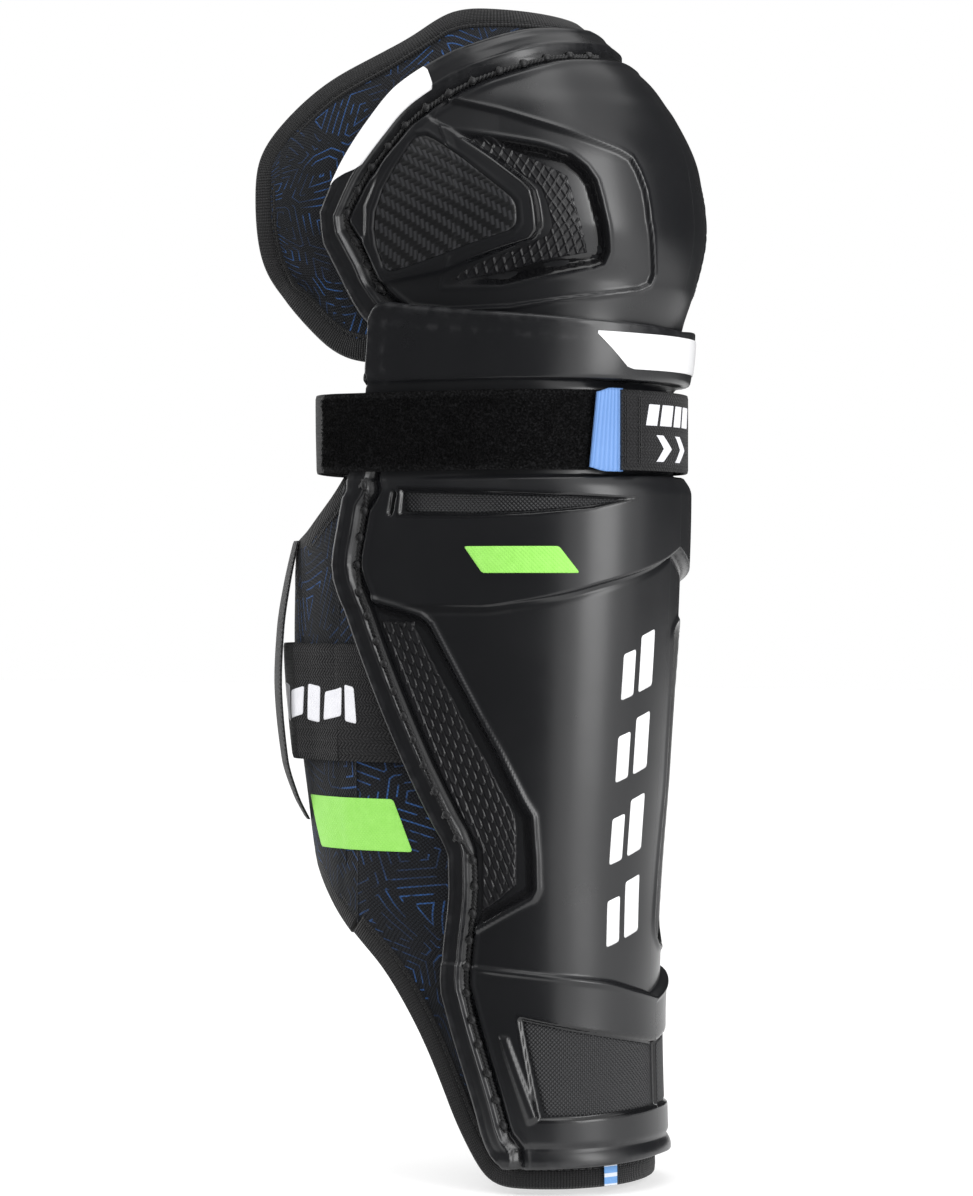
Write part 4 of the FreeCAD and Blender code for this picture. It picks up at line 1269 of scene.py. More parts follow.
def knee_net(name, side):
    """Raised criss-cross ribs on the floor of the hollow, between its wall and the plateau."""
    field = [(100, 394), (87.7, 394.5), (61.0, 380.4), (58.6, 366.2), (55.6, 357.2), (52.4, 349.4),
             (82.5, 342.6),
             (104, 341.6), (97, 345.6), (76.5, 351.4), (69.5, 355.4), (68.4, 359), (72.4, 375.6), (96, 393)]

    def ribs(s, z, lift):
        across = np.abs(((s * 0.80 + z * 0.60) / 3.2) % 1.0 - 0.5)
        along = np.abs(((s * 0.86 - z * 0.51) / 3.2) % 1.0 - 0.5)
        rib = np.maximum(1 - ease(across, 0.04, 0.15), 1 - ease(along, 0.04, 0.15))
        depth = outline_depth(s, z, field)
        rise = (0.15 + 0.55 * rib) * ease(depth, -0.3, 0.8) - 1.1 * (1 - ease(depth, -0.9, 0.0))
        return on_knee(s, z, rise + lift, side)
    made = shell(f"{name}_knee_net", ribs, np.linspace(50, 103, 200), np.linspace(340, 396, 210), 0.0, -1.0)
    return dress(made, "grip_plastic", "grip_plastic", "knee")


# ---------------------------------------------------------------- moulded inserts
def grip(side_name, side):
    """Overlapping pointed scales in the hollow along the rear of the side wall."""
    zs = np.linspace(103.5, 214.5, 330)
    front_line = np.array([p for p in GRIP_FLOOR[:8]][::-1], float)
    t = np.linspace(0, 1, 110)

    def surface(z, t, lift):
        front = np.interp(z, front_line[:, 1], front_line[:, 0])
        rear_edge = girth(SHIN, 2.0 + 0 * z, z, shin_rear(z))
        rear = rear_edge - SEAM - 2.4
        s = front + (np.maximum(rear, front + 1.0) - front) * t
        # scales: long axis along the flange, each row set half a scale along
        along = (z * 0.88 + s * 0.47) / 5.8
        across = (s * 0.88 - z * 0.47) / 2.6
        row = np.floor(across)
        a = (along + 0.5 * (row % 2)) % 1.0
        b = np.abs((across % 1.0) - 0.5) * 2
        tip = np.clip((a - 0.25 * b) % 1.0, 0, 1)
        scale = ease(1 - b, 0.0, 0.35) * (0.25 + 0.75 * (1 - tip)) * ease(tip, 0.0, 0.10)
        edge = np.minimum(np.minimum(t, 1 - t) * (rear - front), np.minimum(z - 103.5, 214.5 - z))
        rise = 0.85 * scale * ease(edge, 0.3, 2.0) - 0.9 * (1 - ease(edge, 0, 1.2))
        return on_shin(s, z, rise + lift + 0.5, side)
    made = shell(f"{side_name}_grip_scales", surface, zs, t, 0.0, -0.9)
    return dress(made, "grip_plastic", "grip_plastic", "shin", (f"{side_name}_shin_grip",))


def inserts():
    for name, side in SIDES:
        grip(name, side)
        knee_net(name, side)
        plate = patch(f"{name}_carbon_plate", rounded(CARBON, 3.0), on_knee, 0.55, -0.8, rings=30, rim=0.7,
                      sides=(side,))
        dress(plate, "carbon_plate", "carbon_plate", "knee", (f"{name}_knee_insert",))
    slot_line = rounded([(119, 262.6), (30, 259.3), (46, 256.9), (68, 255), (90, 254.4), (118, 255.2)], 1.0)
    vents = patch("upper_vent_mesh", slot_line, on_shin, 0.35, -0.8, centre=(80, 258), rings=12, rim=0.3)
    dress(vents, "vent_mesh", "vent_mesh", "shin", ("upper_vent_panels",))
    panel_line = rounded([(59.5, 64), (2, 52.5), (2, 29.5), (16, 29.2), (36, 28.2), (51, 28.4)], 1.6)
    ankle = patch("ankle_mesh", panel_line, on_shin, 0.35, -0.8, rings=16, rim=0.3)
    dress(ankle, "vent_mesh", "vent_mesh", "shin", ("ankle_panels",))
    vent_line = rounded([(7.5, 206), (9.6, 185), (10, 149), (6.2, 112), (5.5, 97), (11, 91), (23, 91),
                         (28.5, 97),
                         (26.5, 112), (23.5, 149), (24.5, 185), (21.5, 206), (15, 211)], 2.0)

    def on_vent(s, z, lift, side):
        return cap_normal_point(SHIN, shin_rear, lambda a, b: shin_relief(a, b)[0] + vent_relief(a, b)[0], s,
                                z, lift,
                                side)
    front = patch("front_vent_mesh", vent_line, on_vent, 0.3, -0.8, centre=(15.5, 150), rings=16, sides=(1,))
    dress(front, "vent_mesh", "vent_mesh", "shin", ("front_vent_panel",))


def bars_and_badges():
    parts = []
    # on the inner side the bars stand behind the front vent
    for side, near, wide in ((-1, 10.5, 16.5), (1, 33.0, 11.0)):
        for low, high in ((91, 118), (122, 149), (153, 180), (184, 211)):
            far = near + wide
            middle = near + 0.56 * wide
            for left, right, drop in ((near, middle - 1.3, 0.0), (middle + 1.3, far, 4.0)):
                slant = 0.34
                bar = [(left, low + slant * (far - left)), (right, low + slant * (far - right)),
                       (right, high - drop - slant * (right - near)),
                       (left, high - drop - slant * (left - near))]
                parts.append(patch_part(rounded(bar, 1.1), on_shin, 0.28, -0.5, side, rings=8, count=80,
                                        rim=0.25))
    bars = merged("side_bars", parts)
    dress(bars, "badge_white", "badge_white", "shin", ("side_bar_badges",))

    def collar(w, t, lift):
        aw = np.abs(w)
        s = aw * COLLAR_REACH
        low = np.interp(s, [0, 28, 31, 34, COLLAR_REACH], [308.8, 308.8, 309.6, 312.2, 321.2])
        high = np.interp(s, [0, 25, COLLAR_REACH], [321.6, 321.8, 322.3])
        z = low + (high - low) * t
        here = on_shin(s, z, lift, 1)
        return here * join(1 + 0 * w, np.sign(w + 1e-9), 1 + 0 * w)
    band = shell("collar_band", collar, np.linspace(-1, 1, 130), np.linspace(0, 1, 16), 0.45, -0.5, rim=0.4)
    dress(band, "badge_white", "badge_white", "shin", ("collar_badge",))
    for name, side in SIDES:
        def flange(w, t, lift, side=side):
            z_edge = smooth(KNEE_TOP_EDGE, w)
            s_edge = knee_girth(w, z_edge)
            ds = knee_girth(w + 0.02, smooth(KNEE_TOP_EDGE, w + 0.02)) - s_edge
            dz = smooth(KNEE_TOP_EDGE, w + 0.02) - z_edge
            size = np.hypot(ds, dz)
            width = 0.6 + 7.0 * t * ease(w, 1.20, 1.34) * (1 - ease(w, 1.80, 1.93))
            return on_knee(s_edge + dz / size * width, z_edge - ds / size * width, lift, side)
        badge = shell(f"{name}_flange_badge", flange, np.linspace(1.24, 1.92, 90), np.linspace(0, 1, 16),
                      0.40, -0.6,
                      rim=0.35)
        dress(badge, "badge_white", "badge_white", "knee", (f"{name}_knee_badge",))


def plate_stripe():
    """Plain slanted green bar on the upper plate, on both sides."""
    bar = rounded([(56, 242), (92, 242), (84, 232), (48, 232)], 1.0)
    made = patch("plate_stripe", bar, on_shin, 0.17, -0.3, rings=14, count=140, rim=0.1)
    return dress(made, "print_green", "cap_plastic", "shin")


# ---------------------------------------------------------------- lock stitching
def shin_seam(side):
    z = np.arange(22, 268, 0.9)
    s = girth(SHIN, 2.0 + 0 * z, z, shin_rear(z))
    line = smooth_path(np.stack([s, z], -1), 40)
    ds, dz = np.gradient(line[:, 0]), np.gradient(line[:, 1])
    size = np.hypot(ds, dz)
    s, z = line[:, 0] - dz / size * (SEAM + 0.2), line[:, 1]
    path = on_shin(s, z, 0.5, side)
    out = unit(on_shin(s, z, 2.5, side) - path)
    return path, out


def knee_seam(side):
    edge = np.array([p for p in KNEE_RIM_LINE if p[0] > 12])
    edge = resample(edge, 420)
    line = smooth_path(edge, 60)
    ds, dz = np.gradient(line[:, 0]), np.gradient(line[:, 1])
    size = np.hypot(ds, dz)
    s, z = line[:, 0] - dz / size * SEAM, line[:, 1] + ds / size * SEAM
    keep = (z > 338) & (s > 8)
    path = on_knee(s[keep], z[keep], 0.5, side)
    out = unit(on_knee(s[keep], z[keep], 2.5, side) - path)
    return path, out


# ---------------------------------------------------------------- straps
def ring(k, z, lift):
    """Upper strap path: k is 0 to 2 back along the outer wall, to 4 round the calf, to 6 along the inner."""
    flat = 0.5 * (STRAP_LOW + STRAP_HIGH) + 0 * k
    side = np.where(k < 3, -1.0, 1.0)
    s = np.where(k < 3, k, 6 - k)
    wall = section(SHIN, np.clip(s, 0, 2), flat, 1.0 * lift, STRAP_BACK_X + 0 * k)
    angle = np.clip(s - 2, 0, 1) * math.pi / 2
    half = wall_half(SHIN, STRAP_BACK_X + 0 * k, flat) + lift
    back = join(STRAP_BACK_X - (STRAP_BOW + lift) * np.sin(angle), half * np.cos(angle), flat)
    point = np.where((s <= 2)[..., None], wall, back)
    return join(point[..., 0], side * point[..., 1], z)


def strap_wave(k, z):
    """The worn strap isn't quite flat: its edges lift and dip a little along its length."""
    edge = (z - 0.5 * (STRAP_LOW + STRAP_HIGH)) / (0.5 * (STRAP_HIGH - STRAP_LOW))
    return 0.35 * np.sin(5.1 * k + 0.6) * edge + 0.3 * np.sin(9.0 * k) * edge**2


def upper_strap():
    z_rows = np.linspace(STRAP_LOW, STRAP_HIGH, 26)
    air = 1.0

    def band(k, z, lift):
        return ring(k, z, air + lift + strap_wave(k, z) * ease(lift + air, 0, 2))
    ks = np.linspace(0.31, 2.28, 260)

    def selvage(k, z):
        return 1.15 + 0.45 * ease(np.minimum(z - STRAP_LOW, STRAP_HIGH - z), 1.2, 2.2)
    base = shell("upper_strap_pile_base", band, ks, z_rows, selvage, 0.0, rim=0.5)
    dress(base, "loop_pile", "loop_pile", "shin", ("upper_strap_loop",))
    rng = np.random.default_rng(11)
    count = 4000 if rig.quick() else 11000
    k = rng.uniform(0.32, 2.27, count)
    z = rng.uniform(STRAP_LOW + 1.9, STRAP_HIGH - 1.9, count)
    root = band(k, z, 1.45 + 0 * k)
    angle = rng.uniform(0, 2 * math.pi, count)
    height = rng.uniform(0.35, 0.95, count)
    reach = rng.uniform(0.3, 1.3, count)
    dk = reach * np.cos(angle) / 70
    dz = reach * np.sin(angle)
    top = band(k + dk * 0.6, z + dz * 0.6, 1.5 + height)
    end = band(k + dk * 1.5, z + dz * 1.5, 1.5 + height * rng.uniform(-0.2, 0.8, count))
    side = np.stack([0 * k, 0 * k, np.full(count, 0.09)], -1) + rng.normal(0, 0.03, (count, 3))
    points = np.stack([root - side, root + side, top + side, top - side, end + side * 0.5, end - side * 0.5],
                      1)
    first = np.arange(count)[:, None] * 6
    quads = np.concatenate([first + np.array([[0, 1, 2, 3]]), first + np.array([[3, 2, 4, 5]])])
    fuzz = make_mesh("upper_strap_pile", points.reshape(-1, 3), [quads])
    set_plan(fuzz, np.zeros((len(points) * 6, 2)))
    dress(fuzz, "loop_pile", "loop_pile", "shin")
    # elastic behind the calf and along the inner side
    def elastic(k, z, lift):
        rise = smooth([(2, 0), (5.3, 0), (5.7, 2.4), (6, 2.4)], k)
        return ring(k, z, air + rise + lift + strap_wave(k, z) * ease(lift + air, 0, 2))
    back = shell("upper_strap_elastic", elastic, np.linspace(2.24, 5.74, 300), z_rows, 1.6, 0.0, rim=0.6)
    dress(back, "strap_elastic", "strap_elastic", "shin", ("upper_strap_back",))

    def end_band(w, z, lift):
        k = -w
        point = ring(np.abs(k), z, lift + 0 * w)
        return point * join(1 + 0 * w, np.where(w > 0, -1.0, 1.0), 1 + 0 * w)
    lift0 = 3.4 + 1.1

    def hem(w, z):
        return 1.6 + 0.9 * (1 - ease(w + 0.368, 0.095, 0.105))
    end = shell("upper_strap_end", end_band, np.linspace(-0.368, 0.22, 110), z_rows,
                lambda w, z: lift0 + hem(w, z), lift0, rim=0.6)
    dress(end, "strap_elastic", "strap_elastic", "strap_end", ("upper_strap_end",))
    hooks = shell("upper_strap_hooks", end_band, np.linspace(-0.39, -0.05, 50),
                  np.linspace(STRAP_LOW + 2, STRAP_HIGH - 2, 16), lift0 - 0.1, 3.45, rim=0.2)
    dress(hooks, "hook_tape", "hook_tape", "strap_end", ("upper_hook_patch",))

    def tab(w, z, lift):
        middle = 0.5 * (STRAP_LOW + STRAP_HIGH)
        narrow = 1 - 0.10 * ease(-w, 0.42, 0.50)
        lean = 0.016 * (z - middle) / (STRAP_HIGH - middle) * ease(-w, 0.36, 0.48)
        return end_band(w + lean, middle + (z - middle) * narrow, lift)
    pull = shell("upper_strap_tab", tab, np.linspace(-0.492, -0.352, 44),
                 np.linspace(STRAP_LOW - 0.6, STRAP_HIGH + 0.6, 30),
                 lambda w, z: lift0 + 1.0 + 0.35 * bump((w + 0.484) * 60, 0.6), lift0 - 0.35, rim=0.7)
    dress(pull, "tab_blue", "tab_blue", "strap_end", ("upper_pull_tab",))
    stitch_rows(end_band, lift0 + 2.5)
    marks = []
    for low, high in ((-0.235, -0.165), (-0.145, -0.055), (-0.035, 0.035), (0.055, 0.145)):
        bar = [(low, STRAP_LOW + 17), (high, STRAP_LOW + 17), (high + 0.02, STRAP_LOW + 25),
               (low + 0.02, STRAP_LOW + 25)]
        marks.append(bar)
    for low in (-0.17, -0.02):
        marks.append([(low, STRAP_LOW + 3.5), (low + 0.05, STRAP_LOW + 3.5), (low + 0.12, STRAP_LOW + 8.5),
                      (low + 0.05, STRAP_LOW + 13.5), (low, STRAP_LOW + 13.5), (low + 0.06, STRAP_LOW + 8.5)])
    shapes = [patch_part([(a * 100, b) for a, b in mark], lambda a, z, lift, side: end_band(a / 100, z, lift),
                         lift0 + 1.76, lift0 + 1.2, 1, rings=8, count=70, rim=0.1) for mark in marks]
    dress(merged("upper_strap_marks", shapes), "print_white", "strap_elastic", "strap_end")


def stitch_rows(end_band, lift):
    """Sewn rows that hold the folded end of the elastic and the tab."""
    parts = []
    for w in (-0.356, -0.345, -0.285, -0.274):
        zs = np.linspace(STRAP_LOW + 2.2, STRAP_HIGH - 2.2, 13)
        for low, high in zip(zs, zs[1:]):
            z = np.linspace(low + 0.25, high - 0.35, 6)
            arc = np.sin(np.linspace(0, math.pi, 6)) * 0.22
            path = end_band(np.full(6, w), z, lift + arc)
            out = unit(end_band(np.full(6, w), z, lift + 2.0) - path)
            tangent = unit(np.gradient(path, axis=0))
            side = unit(np.cross(tangent, out))
            angle = np.linspace(0, 2 * math.pi, 6, endpoint=False)
            parts.append(sweep(path, (side, out), np.stack([np.cos(angle), np.sin(angle)], -1) * 0.26))
    made = merged("upper_strap_stitches", parts)
    return dress(made, "stitch_thread", "stitch_thread", "strap_end")


def strap_lift(run):
    return smooth([(-12, 0.4), (0, 0.4), (12, 0.6), (28, TAIL_LIFT), (60, TAIL_LIFT)], run)


def lower_strap():
    z_rows = np.linspace(BAND_LOW, BAND_HIGH, 34)

    def band(run, z, lift):
        wave = 0.3 * np.sin(0.21 * run + 0.09 * z)
        return wing_surface(run, z, strap_lift(run) + lift + wave * ease(lift, 0, 1), -1)

    def whole(q, z, lift):
        # q below 0 lies on the liner, from under the flange; above 0 it lies on the wing
        front = smooth(SHIN_REAR, z) + 7.0
        x = WING_FOLD_X + (front - WING_FOLD_X) * np.clip(-q / 40.0, 0, 1)
        near = liner_wall(x, z, strap_lift(0 * q) + lift, -1)
        far = band(np.maximum(q, 0), z, lift)
        return np.where((q < 0)[..., None], near, far)
    piece = shell("lower_strap_band", whole, np.linspace(-40, TAIL_START - 0.5, 190), z_rows, 1.6, 0.0,
                  rim=0.6)
    dress(piece, "strap_elastic", "strap_elastic", None, ("lower_strap_anchor", "lower_strap_wing"))
    fold_blend(piece, "outer_wing", -1)
    marks = []
    for low, high, rise in ((-14, -7, 0), (-4.5, 6, 3), (8.5, 15.5, 0), (18, 28.5, 3), (31, 38, 0)):
        bar = rounded([(low, 188.5), (high, 189.5 - rise), (high + 1.5, 175.5), (low + 1.5, 174.5 + rise)],
                      1.0)
        marks.append(patch_part(bar, lambda q, z, lift, side: whole(q, z, lift), 1.78, 1.3, 1, rings=8,
                                count=70,
                                rim=0.1))
    bars = merged("lower_strap_bars", marks)
    dress(bars, "print_white", "strap_elastic")
    fold_blend(bars, "outer_wing", -1)

    def tail(s, z, lift):
        start = wrap_angle(WING_FOLD_X, z, TAIL_LIFT) + TAIL_START / WING_RUN * WING_SWEEP
        phi = start + (150 - start) * s
        near = wrap(np.minimum(phi, 90), z, TAIL_LIFT + lift, -1)
        far = wrap(180 - np.maximum(phi, 90), z, TAIL_LIFT + lift, 1)
        return np.where((phi <= 90)[..., None], near, far)
    end = shell("lower_strap_tail", tail, np.linspace(0, 1, 150), z_rows, 1.6, 0.0, rim=0.6)
    dress(end, "strap_elastic", "strap_elastic", "strap_tail", ("lower_strap_tail",))
    hooks = shell("lower_strap_hooks", tail, np.linspace(0.66, 0.97, 40),
                  np.linspace(BAND_LOW + 4, BAND_HIGH - 4, 20), -0.1, -1.1, rim=0.2)
    dress(hooks, "hook_tape", "hook_tape", "strap_tail", ("lower_hook_patch",))
    pull = shell("lower_strap_tab", tail, np.linspace(0.93, 1.05, 24),
                 np.linspace(BAND_LOW + 6, BAND_HIGH - 6, 24), 2.7, 1.65, rim=0.5)
    dress(pull, "tab_blue", "tab_blue", "strap_tail", ("lower_pull_tab",))

    def loop(run, z, lift):
        bow = smooth([(134, 0.2), (146, 5.0), (160, 7.8), (185, 8.3), (210, 6.4), (228, 3.6), (247, 0.2)], z)
        return wing_surface(run, z, bow + lift, -1)
    keeper = shell("keeper_loop_strap", loop, np.linspace(29, 40, 16), np.linspace(136, 245, 120), 1.3, 0.0,
                   rim=0.4)
    dress(keeper, "keeper_webbing", "keeper_webbing", "outer_wing", ("keeper_loop",))

    def pile(run, z, lift):
        return wing_surface(run, z, lift + 0.2 * np.sin(0.5 * run) * np.sin(0.4 * z), 1)
    loops = shell("wing_loop_pile", pile, np.linspace(4, 38, 50),
                  np.linspace(BAND_LOW + 3, BAND_HIGH - 3, 50), 1.3,
                  0.1, rim=0.4)
    dress(loops, "loop_pile", "loop_pile", "inner_wing", ("wing_loop_patch",))


def fold_blend(piece, wing, side):
    """A piece that crosses a calf wing's fold line bends there."""
    middle = WING_FOLD_X
    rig.blend(piece, "shin", wing, ((middle + 4) * MM, side * 0.044, 0.18),
             ((middle - 3.5) * MM, side * 0.044, 0.18))


# ---------------------------------------------------------------- padded fabrics
def pad_mesh(name, surface, us, vs, top, bottom):
    """Closed pad over surface(u, v, lift), with 'inner' on its points. Returns it and each point's u and v."""
    u, v = np.meshgrid(us, vs, indexing="ij")
    base = surface(u, v, 0.0 * u)
    along, across = lengths(base, 0), lengths(base, 1)
    top = np.broadcast_to(top(u, v) if callable(top) else top, u.shape)
    bottom = np.broadcast_to(bottom(u, v) if callable(bottom) else bottom, u.shape)
    outer, inner = surface(u, v, top), surface(u, v, bottom)
    plan = np.stack(np.meshgrid(along, across, indexing="ij"), -1)
    facing = np.einsum("ijk,ijk->", normals(outer), outer - inner)
    if facing < 0:
        outer, inner, plan, u, v = (a[::-1] for a in (outer, inner, plan, u, v))
    made = closed_sheet(name, outer, inner)
    set_plan(made, np.concatenate([plan.reshape(-1, 2)] * 2))
    count = outer.shape[0] * outer.shape[1]
    set_float(made, "inner", np.concatenate([np.zeros(count), np.ones(count)]))
    return made, np.concatenate([u.ravel()] * 2), np.concatenate([v.ravel()] * 2)


def add_cloth(piece, pin, pressure, stiffness):
    group = piece.vertex_groups.new(name="pin")
    for index, weight in enumerate(np.clip(pin, 0, 1)):
        group.add([index], float(weight), "REPLACE")
    cloth = piece.modifiers.new("cloth", "CLOTH")
    s = cloth.settings
    s.quality = 5
    s.mass = 0.25
    s.use_pressure = True
    s.uniform_pressure_force = pressure
    s.tension_stiffness = stiffness
    s.compression_stiffness = stiffness
    s.shear_stiffness = 0.4 * stiffness
    s.bending_stiffness = 0.6
    s.vertex_group_mass = "pin"
    s.pin_stiffness = 1.0
    s.effector_weights.gravity = 0.0
    cloth.collision_settings.use_self_collision = False
    cloth.collision_settings.use_collision = False
    cloth.point_cache.frame_start = 1
    cloth.point_cache.frame_end = 20


def settle(pads, cap_mm):
    """Runs the cloth on every pad together and writes the moves, each kept under cap_mm, to the meshes."""
    scene = bpy.context.scene
    last = 8 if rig.quick() else 20
    for frame_number in range(1, last + 1):
        scene.frame_set(frame_number)
    graph = bpy.context.evaluated_depsgraph_get()
    moved = {}
    for piece in pads:
        shape = piece.evaluated_get(graph)
        count = len(piece.data.vertices)
        after = np.empty(count * 3)
        shape.data.vertices.foreach_get("co", after)
        moved[piece.name] = after.reshape(-1, 3)
    for piece in pads:
        count = len(piece.data.vertices)
        before = np.empty(count * 3)
        piece.data.vertices.foreach_get("co", before)
        before = before.reshape(-1, 3)
        delta = moved[piece.name] - before
        size = np.linalg.norm(delta, axis=1, keepdims=True)
        delta *= np.minimum(1, cap_mm * MM / np.maximum(size, 1e-9))
        delta[~np.isfinite(delta)] = 0
        piece.modifiers.clear()
        piece.data.vertices.foreach_set("co", (before + delta).astype(np.float32).ravel())
        piece.data.update()
    scene.frame_set(1)


def refine(piece, levels):
    """Subdivides a pad for good and returns it."""
    modifier = piece.modifiers.new("fine", "SUBSURF")
    modifier.levels = modifier.render_levels = levels
    modifier.boundary_smooth = "PRESERVE_CORNERS"
    graph = bpy.context.evaluated_depsgraph_get()
    made = bpy.data.meshes.new_from_object(piece.evaluated_get(graph))
    piece.modifiers.clear()
    piece.data = made
    made.polygons.foreach_set("use_smooth", [True] * len(made.polygons))
    return piece


def wrinkle(piece, amount, scale, seed):
    """Slight unevenness of sewn fabric, along the normals, as a sum of seeded waves."""
    rng = np.random.default_rng(seed)
    mesh = piece.data
    count = len(mesh.vertices)
    co, no = np.empty(count * 3), np.empty(count * 3)
    mesh.vertices.foreach_get("co", co)
    mesh.vertices.foreach_get("normal", no)
    co, no = co.reshape(-1, 3), no.reshape(-1, 3)
    height = np.zeros(count)
    for _ in range(9):
        direction = unit(rng.normal(size=3))
        wave = 2 * math.pi / (scale * MM * rng.uniform(0.6, 1.6))
        height += np.sin(co @ direction * wave + rng.uniform(0, 6.28)) / 3
    co = co + no * (height * amount * MM)[:, None]
    mesh.vertices.foreach_set("co", co.astype(np.float32).ravel())
    mesh.update()


def edge_binding(name, path, inward, out, thickness, width, body=None, slot="binding_fabric"):
    """Folded tape round a pad's edge: rounded outside, with a stitched groove near each inner edge."""
    half = thickness / 2
    turn = np.linspace(-math.pi / 2, math.pi / 2, 13)
    nose = np.stack([-np.cos(turn) * 0.55 * half, np.sin(turn) * (half + 0.55)], -1)
    up = [(0.28 * width, half + 0.75), (0.55 * width, half + 0.70), (0.70 * width, half + 0.55),
          (0.76 * width, half + 0.18), (0.82 * width, half + 0.50), (0.95 * width, half + 0.45),
          (width, half - 0.1)]
    profile = np.concatenate([nose, up, [(width, 0.0)], [(a, -b) for a, b in up[::-1]]])
    points, faces, plan = sweep(path, (inward, out), profile)
    made = merged(name, [(points, faces, plan)])
    run = np.concatenate([[0], np.cumsum(np.linalg.norm(np.diff(path, axis=0), axis=1))])
    parts = []
    for face in (1, -1):
        for start in np.arange(1.0, run[-1] - 2.4, 2.6):
            stops = np.linspace(start, start + 1.8, 4)
            middle = np.stack([np.interp(stops, run, path[:, k]) for k in range(3)], -1)
            d = unit(np.stack([np.interp(stops, run, inward[:, k]) for k in range(3)], -1))
            n = unit(np.stack([np.interp(stops, run, out[:, k]) for k in range(3)], -1))
            line = middle + d * 0.76 * width + n * (face * (half + 0.30 + 0.16 *
                                                            np.sin(np.linspace(0, math.pi, 4))))[:, None]
            ring = np.array([(math.cos(a), math.sin(a)) for a in np.linspace(0, 2 * math.pi, 5)[:-1]]) * 0.22
            parts.append(sweep(line, (d, n), ring))
    stitches = merged(name + "_stitches", parts)
    dress(made, "binding_fabric", slot, body)
    dress(stitches, "stitch_thread", "stitch_thread", body)
    return made, stitches


def edge_frames(surface, us, vs, lift, step_in):
    """Edge path with inward and outward directions. step_in gives a nearby (u, v) inside the piece."""
    path = surface(us, vs, lift + 0 * us)
    out = unit(surface(us, vs, lift + 1 + 0 * us) - path)
    iu, iv = step_in(us, vs)
    inward = unit(surface(iu, iv, lift + 0 * us) - path)
    path = smooth_path(path, 6)
    tangent = unit(np.gradient(path, axis=0))
    inward = smooth_path(unit(inward - tangent * np.einsum("ij,ij->i", inward, tangent)[:, None]), 12)
    inward = unit(inward - tangent * np.einsum("ij,ij->i", inward, tangent)[:, None])
    out = unit(out - tangent * np.einsum("ij,ij->i", out, tangent)[:, None])
    out = unit(out - inward * np.einsum("ij,ij->i", out, inward)[:, None])
    return path, inward, out


def even_rows(points, pitch):
    """Parameter rows spaced evenly along the surface they make."""
    run = np.concatenate([[0], np.cumsum(np.linalg.norm(np.diff(points, axis=0), axis=1))])
    return np.interp(np.linspace(0, run[-1], max(int(run[-1] / pitch), 2)), run, np.arange(len(points)))


WING_TOP_LINE = [(-10, 269), (-6, 264.5), (0, 259), (8, 252.5), (20, 244), (40, 240), (70, 236)]
WING_BOTTOM_LINE = [(-10, 96), (0, 103), (10, 111), (25, 121), (45, 128), (70, 133)]


def wing_skin(side, length):
    def surface(run, t, lift):
        corner = 1 - (np.clip((run - (length - 14)) / 14, 0, 1)) ** 2.4 * 0.30
        low, high = smooth(WING_BOTTOM_LINE, run), smooth(WING_TOP_LINE, run)
        middle, half = 0.5 * (low + high), 0.5 * (high - low)
        z = middle + half * (2 * t - 1) * corner
        return wing_surface(run, z, lift, side)
    return surface


